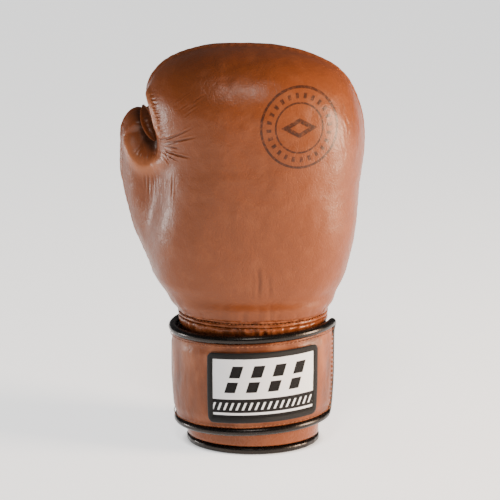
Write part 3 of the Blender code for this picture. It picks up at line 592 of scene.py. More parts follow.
def mitt_points(share, angle):
    share, angle = np.broadcast_arrays(np.asarray(share, float), np.asarray(angle, float))
    z, thumb, little, back, palm = np.moveaxis(read_stations(share), -1, 0)
    c, s = squarer(np.cos(angle), MITT_POWER), squarer(np.sin(angle), MITT_POWER)
    x = 0.5 * (thumb + little) + 0.5 * (little - thumb) * c
    y = 0.5 * (back + palm) + 0.5 * (palm - back) * s
    return np.stack((x, y, z), -1) + AXIS


def thumb_axis(share):
    bend = smooth(share / 0.75)
    ease = 0.5 * (bend + np.minimum(1.0, share / 0.75))
    x = -(CUFF_WIDTH - 0.0085) + (CUFF_WIDTH - 0.0085 - FIST_WIDTH - 0.017 + THUMB_RADIUS) * ease
    y = THUMB_TILT * (0.35 + 0.65 * bend)
    z = THUMB_ROOT_Z + share * (THUMB_TIP_Z - THUMB_RADIUS - THUMB_ROOT_Z)
    radius = THUMB_ROOT_RADIUS + (THUMB_RADIUS - THUMB_ROOT_RADIUS) * bend
    return np.stack((x, y, z), -1) + AXIS, radius


def thumb_points(share, angle):
    share, angle = np.broadcast_arrays(np.asarray(share, float), np.asarray(angle, float))
    centre, radius = thumb_axis(np.minimum(1.0, share / THUMB_DOME))
    lift = 0.5 * math.pi * np.clip((share - THUMB_DOME) / (1 - THUMB_DOME), 0, 1)
    reach = radius * np.cos(lift)
    offset = np.stack((reach * np.cos(angle), reach * np.sin(angle), radius * np.sin(lift)), -1)
    return centre + offset


def closed_dome(points, nu, nv, drop):
    """Vertices and faces of a dome, its mouth lowered by drop and closed."""
    angle = np.linspace(0, 2 * math.pi, nu, endpoint=False)
    share = np.sin(np.linspace(0, 1, nv) * 0.5 * math.pi)
    grid = points(share[None, :], angle[:, None])
    foot = grid[:, :1] - np.array((0, 0, drop))
    grid = np.concatenate((foot, grid), 1)
    nv += 1
    faces = grid_faces(nu, nv, 0, True)
    faces.append(tuple((np.arange(nu) * nv).tolist())[::-1])
    faces.append(tuple((np.arange(nu) * nv + nv - 1).tolist()))
    return grid.reshape(-1, 3), faces


def plain_object(name, verts, faces):
    mesh = bpy.data.meshes.new(name)
    mesh.from_pydata(verts.tolist(), [], faces)
    obj = bpy.data.objects.new(name, mesh)
    bpy.context.scene.collection.objects.link(obj)
    return obj


def settled(obj):
    """The object's mesh with its modifiers applied. The object goes."""
    bpy.context.view_layer.update()
    mesh = bpy.data.meshes.new_from_object(obj.evaluated_get(bpy.context.evaluated_depsgraph_get()))
    bpy.data.objects.remove(obj)
    return mesh


def fading(share, taper):
    """1 along a line, falling to 0 over a share of its length at both ends."""
    return smooth(share / taper) * smooth((1 - share) / taper)


class Skin:
    """The leather's vertices, which the sculpting below moves."""

    def __init__(self, mesh):
        self.mesh = mesh
        n = len(mesh.vertices)
        self.co = np.empty(n * 3)
        mesh.vertices.foreach_get("co", self.co)
        self.co = self.co.reshape(-1, 3)
        edges = np.empty(len(mesh.edges) * 2, np.int64)
        mesh.edges.foreach_get("vertices", edges)
        self.edges = edges.reshape(-1, 2)
        self.links = np.bincount(self.edges.ravel(), minlength=n)
        # Painted shade and highlight for each vertex, which the sculpting below sets and the leather's colour
        # reads.
        self.fold_shading = np.zeros(n)
        self.refresh()

    def refresh(self):
        self.mesh.vertices.foreach_set("co", self.co.astype(np.float32).ravel())
        self.mesh.update()
        normals = np.empty(len(self.co) * 3, np.float32)
        self.mesh.vertex_normals.foreach_get("vector", normals)
        self.normal = normals.reshape(-1, 3).astype(float)

    def relax(self, weight, rounds):
        a, b = self.edges.T
        n = len(self.co)
        for _ in range(rounds):
            total = np.empty_like(self.co)
            for k in range(3):
                total[:, k] = np.bincount(a, self.co[b, k], n) + np.bincount(b, self.co[a, k], n)
            middle = total / self.links[:, None]
            self.co += (middle - self.co) * (0.5 * np.broadcast_to(weight, len(self.co)))[:, None]
        self.refresh()

    def push(self, amount):
        self.co += self.normal * np.asarray(amount)[:, None]

    def tree(self):
        polygons = [p.vertices[:] for p in self.mesh.polygons]
        return BVHTree.FromPolygons(self.co.tolist(), polygons)

    def along(self, line, reach):
        """Vertices within reach of a line: their indices, distances and shares of its length."""
        line = np.asarray(line)
        near = np.flatnonzero(((self.co > line.min(0) - reach) & (self.co < line.max(0) + reach)).all(1))
        if not len(near):
            return near, np.zeros(0), np.zeros(0)
        steps = np.linalg.norm(np.diff(line, axis=0), axis=1)
        starts = np.concatenate(([0.0], np.cumsum(steps)))
        best, share = np.full(len(near), 1e9), np.zeros(len(near))
        points = self.co[near]
        for k, (p, q) in enumerate(zip(line[:-1], line[1:])):
            d = q - p
            t = np.clip(((points - p) @ d) / (d @ d), 0, 1)
            away = np.linalg.norm(points - (p + t[:, None] * d), axis=1)
            closer = away < best
            best = np.where(closer, away, best)
            share = np.where(closer, (starts[k] + t * steps[k]) / starts[-1], share)
        keep = best < reach
        return near[keep], best[keep], share[keep]

    def groove(self, line, depth, width, taper=0.3, lip=0.4, shade=1.0):
        """Presses a fold along a line, with a soft swelling on both sides, painting shade in the fold and a
        little highlight on the swellings.
        """
        index, away, share = self.along(line, 4.0 * width)
        ends = fading(share, taper)
        dip = np.exp(-((away / width) ** 2))
        swell = np.exp(-(((away - 2.0 * width) / width) ** 2))
        self.co[index] += self.normal[index] * (depth * ends * (lip * swell - dip))[:, None]
        self.fold_shading[index] += shade * ends * (0.25 * lip * swell - 0.5 * dip)

    def ridge(self, line, height, width, taper=0.3, shade=0.25):
        index, away, share = self.along(line, 3.0 * width)
        ends = fading(share, taper)
        rise = np.exp(-((away / width) ** 2)) * ends
        self.co[index] += self.normal[index] * (height * rise)[:, None]
        # Painted highlight on the ridge, or painted shade where the amount is negative.
        self.fold_shading[index] += shade * rise


def eased(points, count=14):
    """A smooth line through a few points."""
    points = np.asarray(points, float)
    return through(points, np.linspace(0, len(points) - 1, count))


def on_back(tree, points, count=14):
    """A smooth line on the back of the glove, through points given as (x, z)."""
    found = []
    for x, z in eased(points, count):
        hit = tree.ray_cast(Vector((x, -0.3, z)), Vector((0, 1, 0)))[0]
        if hit is not None:
            found.append(hit[:])
    return np.array(found)


def on_skin(tree, points):
    return np.array([tree.find_nearest(Vector(p))[0][:] for p in points])


VOXEL, WEB_ROUNDS = ((0.0022, 90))
CREASE_END = (-0.0605, 0.2300)
FIST_EDGE = ((-0.0690, 0.2690), (-0.0655, 0.2600), (-0.0625, 0.2510), (-0.0600, 0.2410), (-0.0575, 0.2330))
TETHER_TOP, TETHER_END = (-0.0718, 0.2530), (-0.0618, 0.2312)
FAN = (
    (((-0.0570, 0.2335), (-0.0480, 0.2382), (-0.0330, 0.2470)), 0.00050, 0.00062),
    (((-0.0565, 0.2315), (-0.0460, 0.2350), (-0.0300, 0.2405)), 0.00062, 0.00066),
    (((-0.0560, 0.2305), (-0.0520, 0.2318), (-0.0430, 0.2345)), 0.00036, 0.00052),
    (((-0.0555, 0.2290), (-0.0500, 0.2299), (-0.0420, 0.2300)), 0.00040, 0.00052),
    (((-0.0560, 0.2272), (-0.0480, 0.2252), (-0.0345, 0.2240)), 0.00060, 0.00064),
    (((-0.0575, 0.2262), (-0.0520, 0.2230), (-0.0440, 0.2205)), 0.00040, 0.00052),
    (((-0.0598, 0.2280), (-0.0566, 0.2235), (-0.0505, 0.2165)), 0.00064, 0.00068),
    (((-0.0606, 0.2275), (-0.0592, 0.2225), (-0.0560, 0.2155)), 0.00040, 0.00054),
    (((-0.0620, 0.2270), (-0.0630, 0.2220), (-0.0626, 0.2140)), 0.00044, 0.00056),
)
THUMB_RIM = (
    (-0.0870, 0.2400),
    (-0.0835, 0.2270),
    (-0.0790, 0.2170),
    (-0.0735, 0.2115),
    (-0.0680, 0.2105),
    (-0.0620, 0.2130),
    (-0.0560, 0.2180),
    (-0.0515, 0.2225),
)


def united_skin():
    """The mitt and thumb as one leather skin, with a soft web at the thumb's root."""
    shapes = []
    for points, nu, nv, drop in ((mitt_points, 120, 90, 0.012), (thumb_points, 72, 60, 0.002)):
        verts, faces = closed_dome(points, nu, nv, drop)
        shapes.append((verts, faces, BVHTree.FromPolygons(verts.tolist(), faces)))
    offset = len(shapes[0][0])
    verts = np.concatenate((shapes[0][0], shapes[1][0]))
    faces = shapes[0][1] + [tuple(v + offset for v in f) for f in shapes[1][1]]
    raw = plain_object("raw_skin", verts, faces)
    remesh = raw.modifiers.new("voxels", "REMESH")
    remesh.mode = "VOXEL"
    remesh.voxel_size = VOXEL
    skin = Skin(settled(raw))
    far = [np.array([tree.find_nearest(Vector(p))[3] for p in skin.co.tolist()]) for _, _, tree in shapes]
    skin.relax(1.0, 3)
    valley = np.exp(-(((far[0] + far[1]) / 0.012) ** 2))
    low = smooth((0.222 - skin.co[:, 2]) / 0.035)
    skin.relax(valley * (0.12 + 0.88 * low), WEB_ROUNDS)
    return skin, shapes


def open_neck(mesh):
    """Cuts the closed foot off and turns a short flange in under the welts."""
    bm = bmesh.new()
    bm.from_mesh(mesh)
    geometry = bm.verts[:] + bm.edges[:] + bm.faces[:]
    bmesh.ops.bisect_plane(
        bm, geom=geometry, plane_co=(0, 0, MITT_BOTTOM - 0.0008), plane_no=(0, 0, -1), clear_outer=True
    )
    rim = [e for e in bm.edges if e.is_boundary]
    made = bmesh.ops.extrude_edge_only(bm, edges=rim)["geom"]
    for v in (g for g in made if isinstance(g, bmesh.types.BMVert)):
        flat = Vector((v.co.x - AXIS[0], v.co.y - AXIS[1], 0.0))
        v.co -= flat.normalized() * 0.0065
    near = [v.co.x < -0.026 and v.co.z > 0.183 and v.co.y < 0.010 for v in bm.verts]
    bm.verts.index_update()
    fine = [e for e in bm.edges if near[e.verts[0].index] and near[e.verts[1].index]]
    bmesh.ops.subdivide_edges(bm, edges=fine, cuts=1, use_grid_fill=True)
    out = bpy.data.meshes.new("mitt_skin")
    bm.normal_update()
    bm.to_mesh(out)
    bm.free()
    return out


def from_inside(tree, y, angles, centre=(0.006, 0.205)):
    """Points of the skin in the plane y, seen from a centre at the given angles above +X."""
    found = []
    for angle in np.radians(angles):
        way = Vector((math.cos(angle), 0.0, math.sin(angle)))
        hit = tree.ray_cast(Vector((centre[0], y, centre[1])), way)[0]
        if hit is not None:
            found.append(hit[:])
    return found


def from_side(tree, sign, y, heights):
    found = []
    for z in heights:
        hit = tree.ray_cast(Vector((sign * 0.2, y, z)), Vector((-sign, 0, 0)))[0]
        if hit is not None:
            found.append(hit[:])
    return found


def seam_lines(tree):
    """The panel seams: over the fist between back and palm, across the palm, and round the thumb."""
    y = SIDE_SEAM_Y + AXIS[1]
    over = from_side(tree, 1, y, np.linspace(MITT_BOTTOM + 0.002, 0.200, 60)) + from_inside(
        tree, y, np.linspace(0, 143.5, 150)
    )
    shares = np.linspace(0, 1, 400)
    at = float(np.interp(FINGER_SEAM_Z, mitt_points(shares, 0.0)[:, 2], shares))
    fingers = on_skin(tree, mitt_points(at, np.radians(np.linspace(8, 164, 80))))
    thumb_y = THUMB_TILT + AXIS[1]
    heights = np.linspace(MITT_BOTTOM + 0.002, 0.232, 90)
    outer = from_side(tree, -1, thumb_y - 0.004 * smooth((0.16 - heights[0]) / 0.06), heights)
    tip, inner = (
        on_skin(tree, [p + (0, thumb_y - p[1], 0) for p in thumb_points(shares, angle)])
        for shares, angle in ((np.linspace(0.66, 1.0, 24), math.pi), (np.linspace(1.0, 0.70, 22), 0.0))
    )
    lines = {"side_seam": over, "finger_seam": fingers, "thumb_seam": outer + tip.tolist() + inner.tolist()}
    return {name: softened(on_skin(tree, resampled(line, 0.0015)), tree) for name, line in lines.items()}


def softened(line, tree):
    """The line with its small kinks smoothed out, back on the skin."""
    for _ in range(12):
        line[1:-1] += 0.5 * (0.5 * (line[:-2] + line[2:]) - line[1:-1])
    return on_skin(tree, line)


def fitted(skin, far):
    """Lets the padding settle: the crown a little lower and rounder, the heel of the thumb fuller."""
    x, z = skin.co[:, 0] - AXIS[0], skin.co[:, 2]
    fist = smooth(0.5 + (far[1] - far[0]) / 0.008)
    crown = smooth((z - 0.228) / 0.042) * fist
    skin.co[:, 0] += crown * np.where(x < 0, 0.0024 * smooth(-x / 0.05), -0.0030 * smooth(x / 0.05))
    body = smooth((z - 0.107) / 0.022) * smooth((0.199 - z) / 0.045)
    heel, edge = -0.0062 * smooth((-x - 0.012) / 0.026), 0.0024 * smooth((x - 0.015) / 0.03)
    skin.co[:, 0] += body * np.where(x < 0, heel, edge)
    skin.co[:, 2] -= 0.0034 * smooth((z - 0.185) / 0.110)
    skin.refresh()


def build_skin():
    skin, shapes = united_skin()
    raw = plain_object("raw_skin", skin.co, [tuple(p.vertices) for p in skin.mesh.polygons])
    subdivide = raw.modifiers.new("finer", "SUBSURF")
    subdivide.levels = subdivide.render_levels = 1
    skin = Skin(open_neck(settled(raw)))
    far = [np.array([tree.find_nearest(Vector(p))[3] for p in skin.co.tolist()]) for _, _, tree in shapes]
    web = smooth((skin.co[:, 0] + 0.028) / -0.004) * smooth((skin.co[:, 2] - 0.185) / 0.004)
    skin.relax(web, 3)
    fitted(skin, far)
    z = skin.co[:, 2]
    tree = skin.tree()
    # Padding: broad lumps and hollows, and the crease between the thumb and the fist, with deep painted shade
    # in the crease and lighter painted shade on the thumb beside the fist
    skin.push(0.0009 * noise_at(skin.co, 26.0, 1) + 0.00030 * noise_at(skin.co, 75.0, 2, 2))
    upper = smooth((z - 0.212) / 0.026)
    between = far[0] + far[1]
    valley = np.exp(-((between / 0.0062) ** 2)) * upper
    skin.push(-0.0078 * valley)
    skin.fold_shading -= 1.1 * valley + 0.22 * np.exp(-((between / 0.014) ** 2)) * upper * (far[1] < far[0])
    skin.refresh()
    # The thumb's rim: a raised band with painted highlight, and a hollow bowl inside it with painted shade
    rim = on_back(tree, THUMB_RIM, 24)
    skin.ridge(rim, 0.0036, 0.0060, 0.25, 0.46)
    bowl = on_back(tree, ((-0.0800, 0.2400), (-0.0745, 0.2290), (-0.0680, 0.2255)), 10)
    skin.ridge(bowl, -0.0036, 0.0095, 0.3, -0.14)
    skin.refresh()
    # The fist's edge above the crease: a raised band with painted highlight
    edge = on_back(tree, FIST_EDGE, 24)
    skin.ridge(edge, 0.0022, 0.0032, 0.25, 0.42)
    skin.refresh()
    fan_wrinkles(skin, tree, edge)
    neck_puckers(skin)
    edge_wrinkles(skin, tree)
    lines = seam_lines(skin.tree())
    for line in lines.values():
        skin.groove(line, 0.0011, 0.0012, 0.04, 0.9, 0.6)
        seam_puckers(skin, line)
    skin.refresh()
    obj = finish_piece("mitt_skin", skin.mesh, "mitt", skin.fold_shading)
    near = smooth(0.5 + (far[0] - far[1]) / (2 * np.where(z > 0.2, 0.007, 0.012)))
    return obj, skin, lines, near, tree


def fan_wrinkles(skin, tree, edge):
    """Folds that spread from the end of the crease, fine folds below the thumb's rim, and hatching, all with
    painted shade in their grooves.
    """
    for points, depth, width in FAN:
        skin.groove(on_back(tree, points), depth, width, 0.30, 0.5, 0.55)
    draw = random.Random(SEED)
    for _ in range(15):
        turn = math.radians(draw.uniform(-80.0, 42.0))
        begin, run, sway = draw.uniform(0.003, 0.008), draw.uniform(0.004, 0.013), draw.uniform(-0.10, 0.10)
        points = []
        for share in (0.0, 0.5, 1.0):
            reach, way = begin + share * run, turn + sway * share
            x, z = CREASE_END[0] + 0.003, CREASE_END[1] - 0.001
            points.append((x + reach * math.cos(way), z + reach * math.sin(way)))
        skin.groove(on_back(tree, points), draw.uniform(0.00014, 0.00028), 0.00048, 0.40, 0.5, 0.22)
    for k in range(2, len(edge) - 2):
        for _ in range(2):
            spot = edge[k] + np.array((draw.uniform(-0.001, 0.001), 0.0, draw.uniform(-0.001, 0.001)))
            run = draw.uniform(0.003, 0.007)
            x, z = spot[0], spot[2]
            ends = ((x - 0.35 * run, z - 0.15 * run), (x + 0.3 * run, z), (x + run, z + 0.3 * run))
            line = on_back(tree, ends, 8)
            if len(line) > 3:
                skin.groove(line, 0.00026, 0.00060, 0.4, 0.7, 0.25)
    for k in range(9):
        x = -0.0700 + 0.0026 * k + draw.uniform(-0.0005, 0.0005)
        top, low = 0.2125 + draw.uniform(-0.004, 0.004), 0.186 + draw.uniform(-0.012, 0.008)
        lean = draw.uniform(-0.001, 0.001)
        line = on_back(tree, ((x, top), (x + lean, 0.5 * (top + low)), (x + 2 * lean, low)))
        skin.groove(line, 0.00026, 0.0008, 0.45, 0.6, 0.30)
    for k in range(10):
        x, z = -0.0880 + 0.0022 * k, 0.2140 + 0.0006 * (k - 5) ** 2 * 0.35
        line = on_back(tree, ((x, z + 0.009), (x + 0.0006, z), (x + 0.0012, z - 0.010)))
        if len(line) > 3:
            skin.groove(line, 0.00018, 0.0007, 0.45, 0.6, 0.15)
    for _ in range(16):
        x, z = draw.uniform(-0.053, -0.034), draw.uniform(0.246, 0.264)
        run, bend = draw.uniform(0.010, 0.019), draw.uniform(-0.001, 0.001)
        line = ((x, z), (x + 0.38 * run + bend, z + 0.34 * run), (x + 0.8 * run, z + 0.6 * run))
        skin.groove(on_back(tree, line), 0.00013, 0.00055, 0.45, 0.4, 0.10)


def neck_puckers(skin):
    """Gathers where the mitt is drawn in to the neck seam, with painted shade in each gather."""
    draw = random.Random(SEED + 1)
    angle = np.degrees(np.arctan2(skin.co[:, 1] - AXIS[1], skin.co[:, 0] - AXIS[0])) % 360.0
    above = skin.co[:, 2] - MITT_BOTTOM
    low = above < 0.05
    place = 0.0
    amount, shade = np.zeros(len(angle)), np.zeros(len(angle))
    while place < 360.0:
        wide, deep, tall = draw.uniform(1.2, 3.2), draw.uniform(0.0002, 0.0009), draw.uniform(0.006, 0.026)
        lean = draw.uniform(-50.0, 50.0)
        off = (angle - place - lean * above + 180.0) % 360.0 - 180.0
        spread = wide * (1.0 + 18.0 * np.clip(above, 0, None))
        dip = np.exp(-((off / spread) ** 2)) * smooth(1.0 - above / tall)
        amount -= deep * dip
        shade -= 110.0 * deep * dip
        place += draw.uniform(6.0, 20.0)
    roll = np.exp(-(((above - 0.0065) / 0.0055) ** 2))
    amount += 0.0021 * roll
    amount = np.where(low, amount, 0.0)
    skin.push(amount)
    skin.fold_shading += np.where(low, shade, 0.0)
    skin.refresh()


def edge_wrinkles(skin, tree):
    """Short creases with painted shade in them: down the middle of the back above the neck, and along the
    little-finger edge.
    """
    for points, depth, shade in (
        (((0.0115, 0.150), (0.0125, 0.135), (0.0118, 0.117)), 0.00042, 0.35),
        (((0.0190, 0.142), (0.0200, 0.130), (0.0205, 0.119)), 0.00025, 0.2),
    ):
        skin.groove(on_back(tree, points), depth, 0.0012, 0.4, 0.4, shade)
    draw = random.Random(SEED + 2)
    for _ in range(24):
        x, z = draw.uniform(0.070, 0.086), draw.uniform(0.212, 0.268)
        run, lean = draw.uniform(0.008, 0.016), draw.uniform(-0.4, 0.6)
        line = on_back(tree, ((x, z), (x + lean * 0.2 * run, z + 0.5 * run), (x - 0.15 * run, z + run)))
        if len(line) > 3:
            skin.groove(line, 0.00018, 0.0011, 0.45, 0.5, 0.12)


def seam_puckers(skin, line):
    """The leather puffs up on both sides of a seam and is pinched between stitches."""
    index, away, share = skin.along(line, 0.012)
    length = np.linalg.norm(np.diff(line, axis=0), axis=1).sum()
    phase = share * length / 0.0062
    swell = np.exp(-(((away - 0.0045) / 0.0028) ** 2))
    wave = 0.5 + 0.5 * np.sin(2 * math.pi * phase + 2.0 * noise_at(skin.co[index], 60.0, 5))
    ends = fading(share, 0.05)
    skin.co[index] += skin.normal[index] * (ends * swell * (0.0003 + 0.00022 * wave))[:, None]
    # Painted highlight on the puffs and painted shade in the pinches between them.
    skin.fold_shading[index] += 0.06 * ends * swell * (wave - 0.4)


# ---------------------------------------------------------------- make everything


def stands_for(obj, body, *nodes):
    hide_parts(*nodes)
    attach(obj, body)


def declare_padded(obj, body, fill, *nodes):
    stands_for(obj, body, *nodes)


MITT_SKIN, SKIN, SEAMS, THUMB_SHARE, CREASE_TREE = build_skin()
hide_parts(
    "back_panel",
    "finger_panel",
    "palm_panel",
    "thumb_back_panel",
    "thumb_palm_panel",
    "knuckle_foam_outer",
    "knuckle_foam_inner",
    "finger_foam",
    "palm_foam",
    "thumb_foam",
)
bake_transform(MITT_SKIN)


def skin_normals(path):
    return np.array([SKIN_TREE.find_nearest(Vector(p))[1][:] for p in path])


SKIN_TREE = SKIN.tree()


def build_welts():
    for name, line in SEAMS.items():
        path = resampled(line, 0.0022)
        up = skin_normals(path)
        path = path + up * 0.0001
        wobble = 1 + 0.10 * noise_at(path, 300.0, 3)
        welt = tube(name, path, (0.00095 * wobble)[:, None], "leather", up, 8)
        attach(welt, "thumb" if name == "thumb_seam" else "glove")


def slit_half(z):
    """Half the slit's width at a height, between its two bindings."""
    return SLIT_HEM + (SLIT_NECK - SLIT_HEM) * z / NECK


def build_cuff():
    u = np.linspace(0, 1, 420)[:, None]
    v = np.linspace(0, 1, 56)[None, :]
    z = WALL_BOTTOM + (WALL_TOP - WALL_BOTTOM) * v + 0 * u
    half = np.degrees((slit_half(z) + (2 * SLIT_RADIUS + GAP)) / cuff_axes(z)[0])
    degrees = 90.0 + half + u * (360.0 - 2 * half)
    base = on_cuff(degrees, z, 0.0)
    gather = noise_at(base * np.array((1.0, 1.0, 0.45)), 250.0, 8, 3) * smooth((z - 0.070) / 0.02)
    ripple = noise_at(base * np.array((0.3, 0.3, 1.0)), 90.0, 9, 2)
    out = 0.0008 * gather + 0.0003 * ripple + 0.0006 * np.exp(-(((z - WALL_TOP + 0.0035) / 0.003) ** 2))
    # Painted highlight on the gathers' crests and painted shade in their dips.
    fold_shading = 0.22 * np.clip(gather, -0.6, 0.6) + 0.05 * ripple
    leather = sheet_body("cuff_skin", on_cuff(degrees, z, out), on_cuff(degrees, z, -0.0040), "neck", fold_shading)
    declare_padded(leather, "glove", 0.8, "cuff_leather", "cuff_foam")
    inner = -CUFF_WALL
    lining = sheet_body(
        "cuff_lining_cloth",
        on_cuff(degrees, z, inner + LINING + 0.0002 * ripple),
        on_cuff(degrees, z, inner + 0.0003 * noise_at(base, 60.0, 4)),
        "lining",
    )
    stands_for(lining, "glove", "cuff_lining")


def build_hem():
    """A rolled band round the mouth, flat underneath, with its ends bound."""
    inset_deg = math.degrees(SLIT_HEM / HEM_WIDTH)
    degrees = np.linspace(90.0 + inset_deg, 450.0 - inset_deg, 360)
    overlap = 0.5 * (HEM_WALL - CUFF_WALL)
    middle_out = overlap - 0.5 * HEM_WALL
    turn = np.linspace(0, 2 * math.pi, 24, endpoint=False)
    power = 0.55
    c, s = squarer(np.cos(turn), power), squarer(np.sin(turn), power)
    probe = on_cuff(degrees, 0.0, 0.0)
    pinch = noise_at(probe, 120.0, 12, 2)
    wide = 0.5 * HEM_WALL + 0.00035 * pinch[:, None] * (np.abs(c) > 0.3)
    z = 0.5 * HEM_HEIGHT * (1 + s[None, :]) + 0.0003 * pinch[:, None] * np.clip(s, 0, 1)
    grid = on_cuff(degrees[:, None], np.clip(z, 0.0, None), middle_out + wide * c[None, :])
    n, sides = grid.shape[:2]
    faces = ring_faces(n, sides, flip=True)
    # Painted highlight where the roll bulges and painted shade where it is pinched.
    fold_shading = np.repeat(0.3 * pinch, sides)
    hem = new_piece("hem_roll", grid.reshape(-1, 3), faces, "black_leather", fold_shading)
    declare_padded(hem, "glove", 0.7, "hem_binding")


def build_slit():
    z = np.linspace(WALL_BOTTOM + SLIT_RADIUS, WALL_TOP - GAP, 60)
    for sign, side in ((1, "thumb_side"), (-1, "little_side")):
        gap = slit_half(z) + SLIT_RADIUS
        degrees = 90.0 + sign * np.degrees(gap / cuff_axes(z)[0])
        path = on_cuff(degrees, z, -0.5 * CUFF_WALL)
        crimp = 1 + 0.035 * noise_at(path, 260.0, 6, 2)
        radius = ((SLIT_RADIUS - GAP) * crimp)[:, None]
        roll = tube(f"slit_roll_{side}", path, radius, "black_leather", np.array((0.0, 1.0, 0.0)), 20)
        declare_padded(roll, "glove", 0.7, f"slit_binding_{side}")
    half = math.degrees((SLIT_HEM + 2 * SLIT_RADIUS) / HEM_WIDTH) + 9.0
    degrees = np.linspace(90 - half, 90 + half, 160)[:, None]
    z = np.linspace(2 * WALL_BOTTOM, WALL_TOP, 40)[None, :]
    inner = -CUFF_WALL - 0.5 * (HEM_WALL - CUFF_WALL) - 2 * GAP - 0.0014
    rib = 0.00022 * np.sin(np.radians(degrees) * 190.0) + 0 * z
    outer = on_cuff(degrees, z, inner + 0.0012 + rib)
    gusset = sheet_body("gusset_elastic", outer, on_cuff(degrees, z, inner + rib), "elastic", rib * 900)
    stands_for(gusset, "glove", "slit_gusset")


def build_neck():
    degrees = np.linspace(0, 360, 400, endpoint=False)
    for name, sign in (("neck_welt_upper", 1.0), ("neck_welt_lower", -1.0)):
        z = NECK + sign * (WELT + 0.5 * GAP)
        path = on_cuff(degrees, z, -0.6 * WELT)
        pinch = noise_at(path, 200.0, 14 + sign, 2)
        path[:, 2] += 0.00025 * noise_at(path, 60.0, 20 + sign)
        radius = (WELT * (1.02 + 0.10 * pinch))[:, None]
        # Painted highlight where the cord swells and painted shade where it is pinched.
        welt = tube(name + "_cord", path, radius, "neck", UP, 10, True, fold_shading=0.35 * pinch)
        stands_for(welt, "glove", name)
    path = on_cuff(degrees, NECK, 0.00015)
    row = stitches("neck_stitches", path, outward_of, "thread", 0.0030, 0.0021, 0.00032, True)
    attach(row, "glove")


def outward_of(points):
    flat = points - AXIS
    normal = np.stack((flat[:, 0] / CUFF_WIDTH**2, flat[:, 1] / CUFF_DEPTH**2, 0 * flat[:, 0]), -1)
    return normal / np.linalg.norm(normal, axis=1, keepdims=True)


def band(name, start, end, low_out, high_out, look, edge, puff=0.0, seed=0):
    """One stretch of the strap, a closed sheet from low_out to high_out, padded by puff."""
    per = arc_per_degree(0.5 * (start + end))
    count = max(8, int((end - start) * per / 0.0012))
    u = np.linspace(0, 1, count)[:, None]
    v = np.linspace(0, 1, 60)[None, :]
    degrees = start + (end - start) * u + 0 * v
    z = STRAP_LOW + edge + (STRAP_TALL - 2 * edge) * v + 0 * u
    probe = on_strap(degrees, z, high_out)
    across = np.minimum(v, 1 - v) * (STRAP_TALL - 2 * edge)
    pillow = puff * (smooth(across / 0.010) - 1.0)
    wrinkle = noise_at(probe * np.array((1.0, 1.0, 0.35)), 75.0, 30 + seed, 3)
    soft = 1.0 if puff else 0.3
    out = high_out + pillow + soft * (0.00045 * wrinkle)
    # Painted highlight on the wrinkles' crests and painted shade in their dips.
    fold_shading = 0.35 * np.clip(wrinkle, -0.7, 0.7) * soft
    return sheet_body(name, on_strap(degrees, z, out), on_strap(degrees, z, low_out + 0 * z), look, fold_shading)


def strap_edge(start, end, z, count):
    return on_strap(np.linspace(start, end, count), z, STRAP_MIDDLE)


def piping_path(start, end):
    """Along the top edge, round the free end's two corners and back along the bottom."""
    per = arc_per_degree(end)
    top_corner, low_corner = 0.0042, 0.0075
    points = [strap_edge(start, end - top_corner / per, STRAP_HIGH, int((end - start) * per / 0.0015))]
    for corner, z, turns in (
        (top_corner, STRAP_HIGH, np.linspace(0, 90, 9)[1:]),
        (low_corner, STRAP_LOW, np.linspace(90, 0, 9)[:-1]),
    ):
        sign = -1.0 if z == STRAP_HIGH else 1.0
        turn = np.radians(turns)
        degrees = end - corner / per * (1 - np.sin(turn))
        heights = z + sign * corner * (1 - np.cos(turn))
        points.append(on_strap(degrees, heights, STRAP_MIDDLE))
        if z == STRAP_HIGH:
            heights = np.linspace(STRAP_HIGH - corner - 0.002, STRAP_LOW + low_corner + 0.002, 36)
            points.append(on_strap(end, heights, STRAP_MIDDLE))
    points.append(strap_edge(end - low_corner / per, start, STRAP_LOW, int((end - start) * per / 0.0015)))
    return np.concatenate(points)


def piping(name, path, nodes, seed):
    """Piping leather, wrapped and gathered a little, with its crimps."""
    path = resampled(path, 0.0011)
    crimp = noise_at(path, 160.0, seed, 2)
    radius = PIPING * (0.99 + 0.020 * crimp)
    # Painted highlight on the fat crimps and painted shade on the thin ones.
    made = tube(name, path, radius[:, None], "black_leather", outward_of(path), 16, fold_shading=0.3 * crimp)
    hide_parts(*nodes)
    return made


def blend_at(obj, degrees):
    """Bakes the piece's placement into its mesh; the strap's direction at the joint is found but not used."""
    across = on_cuff(np.array((degrees - 1.0, degrees, degrees + 1.0)), STRAP_MID, STRAP_MIDDLE)
    ahead = across[2] - across[0]
    ahead /= np.linalg.norm(ahead)
    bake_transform(obj)


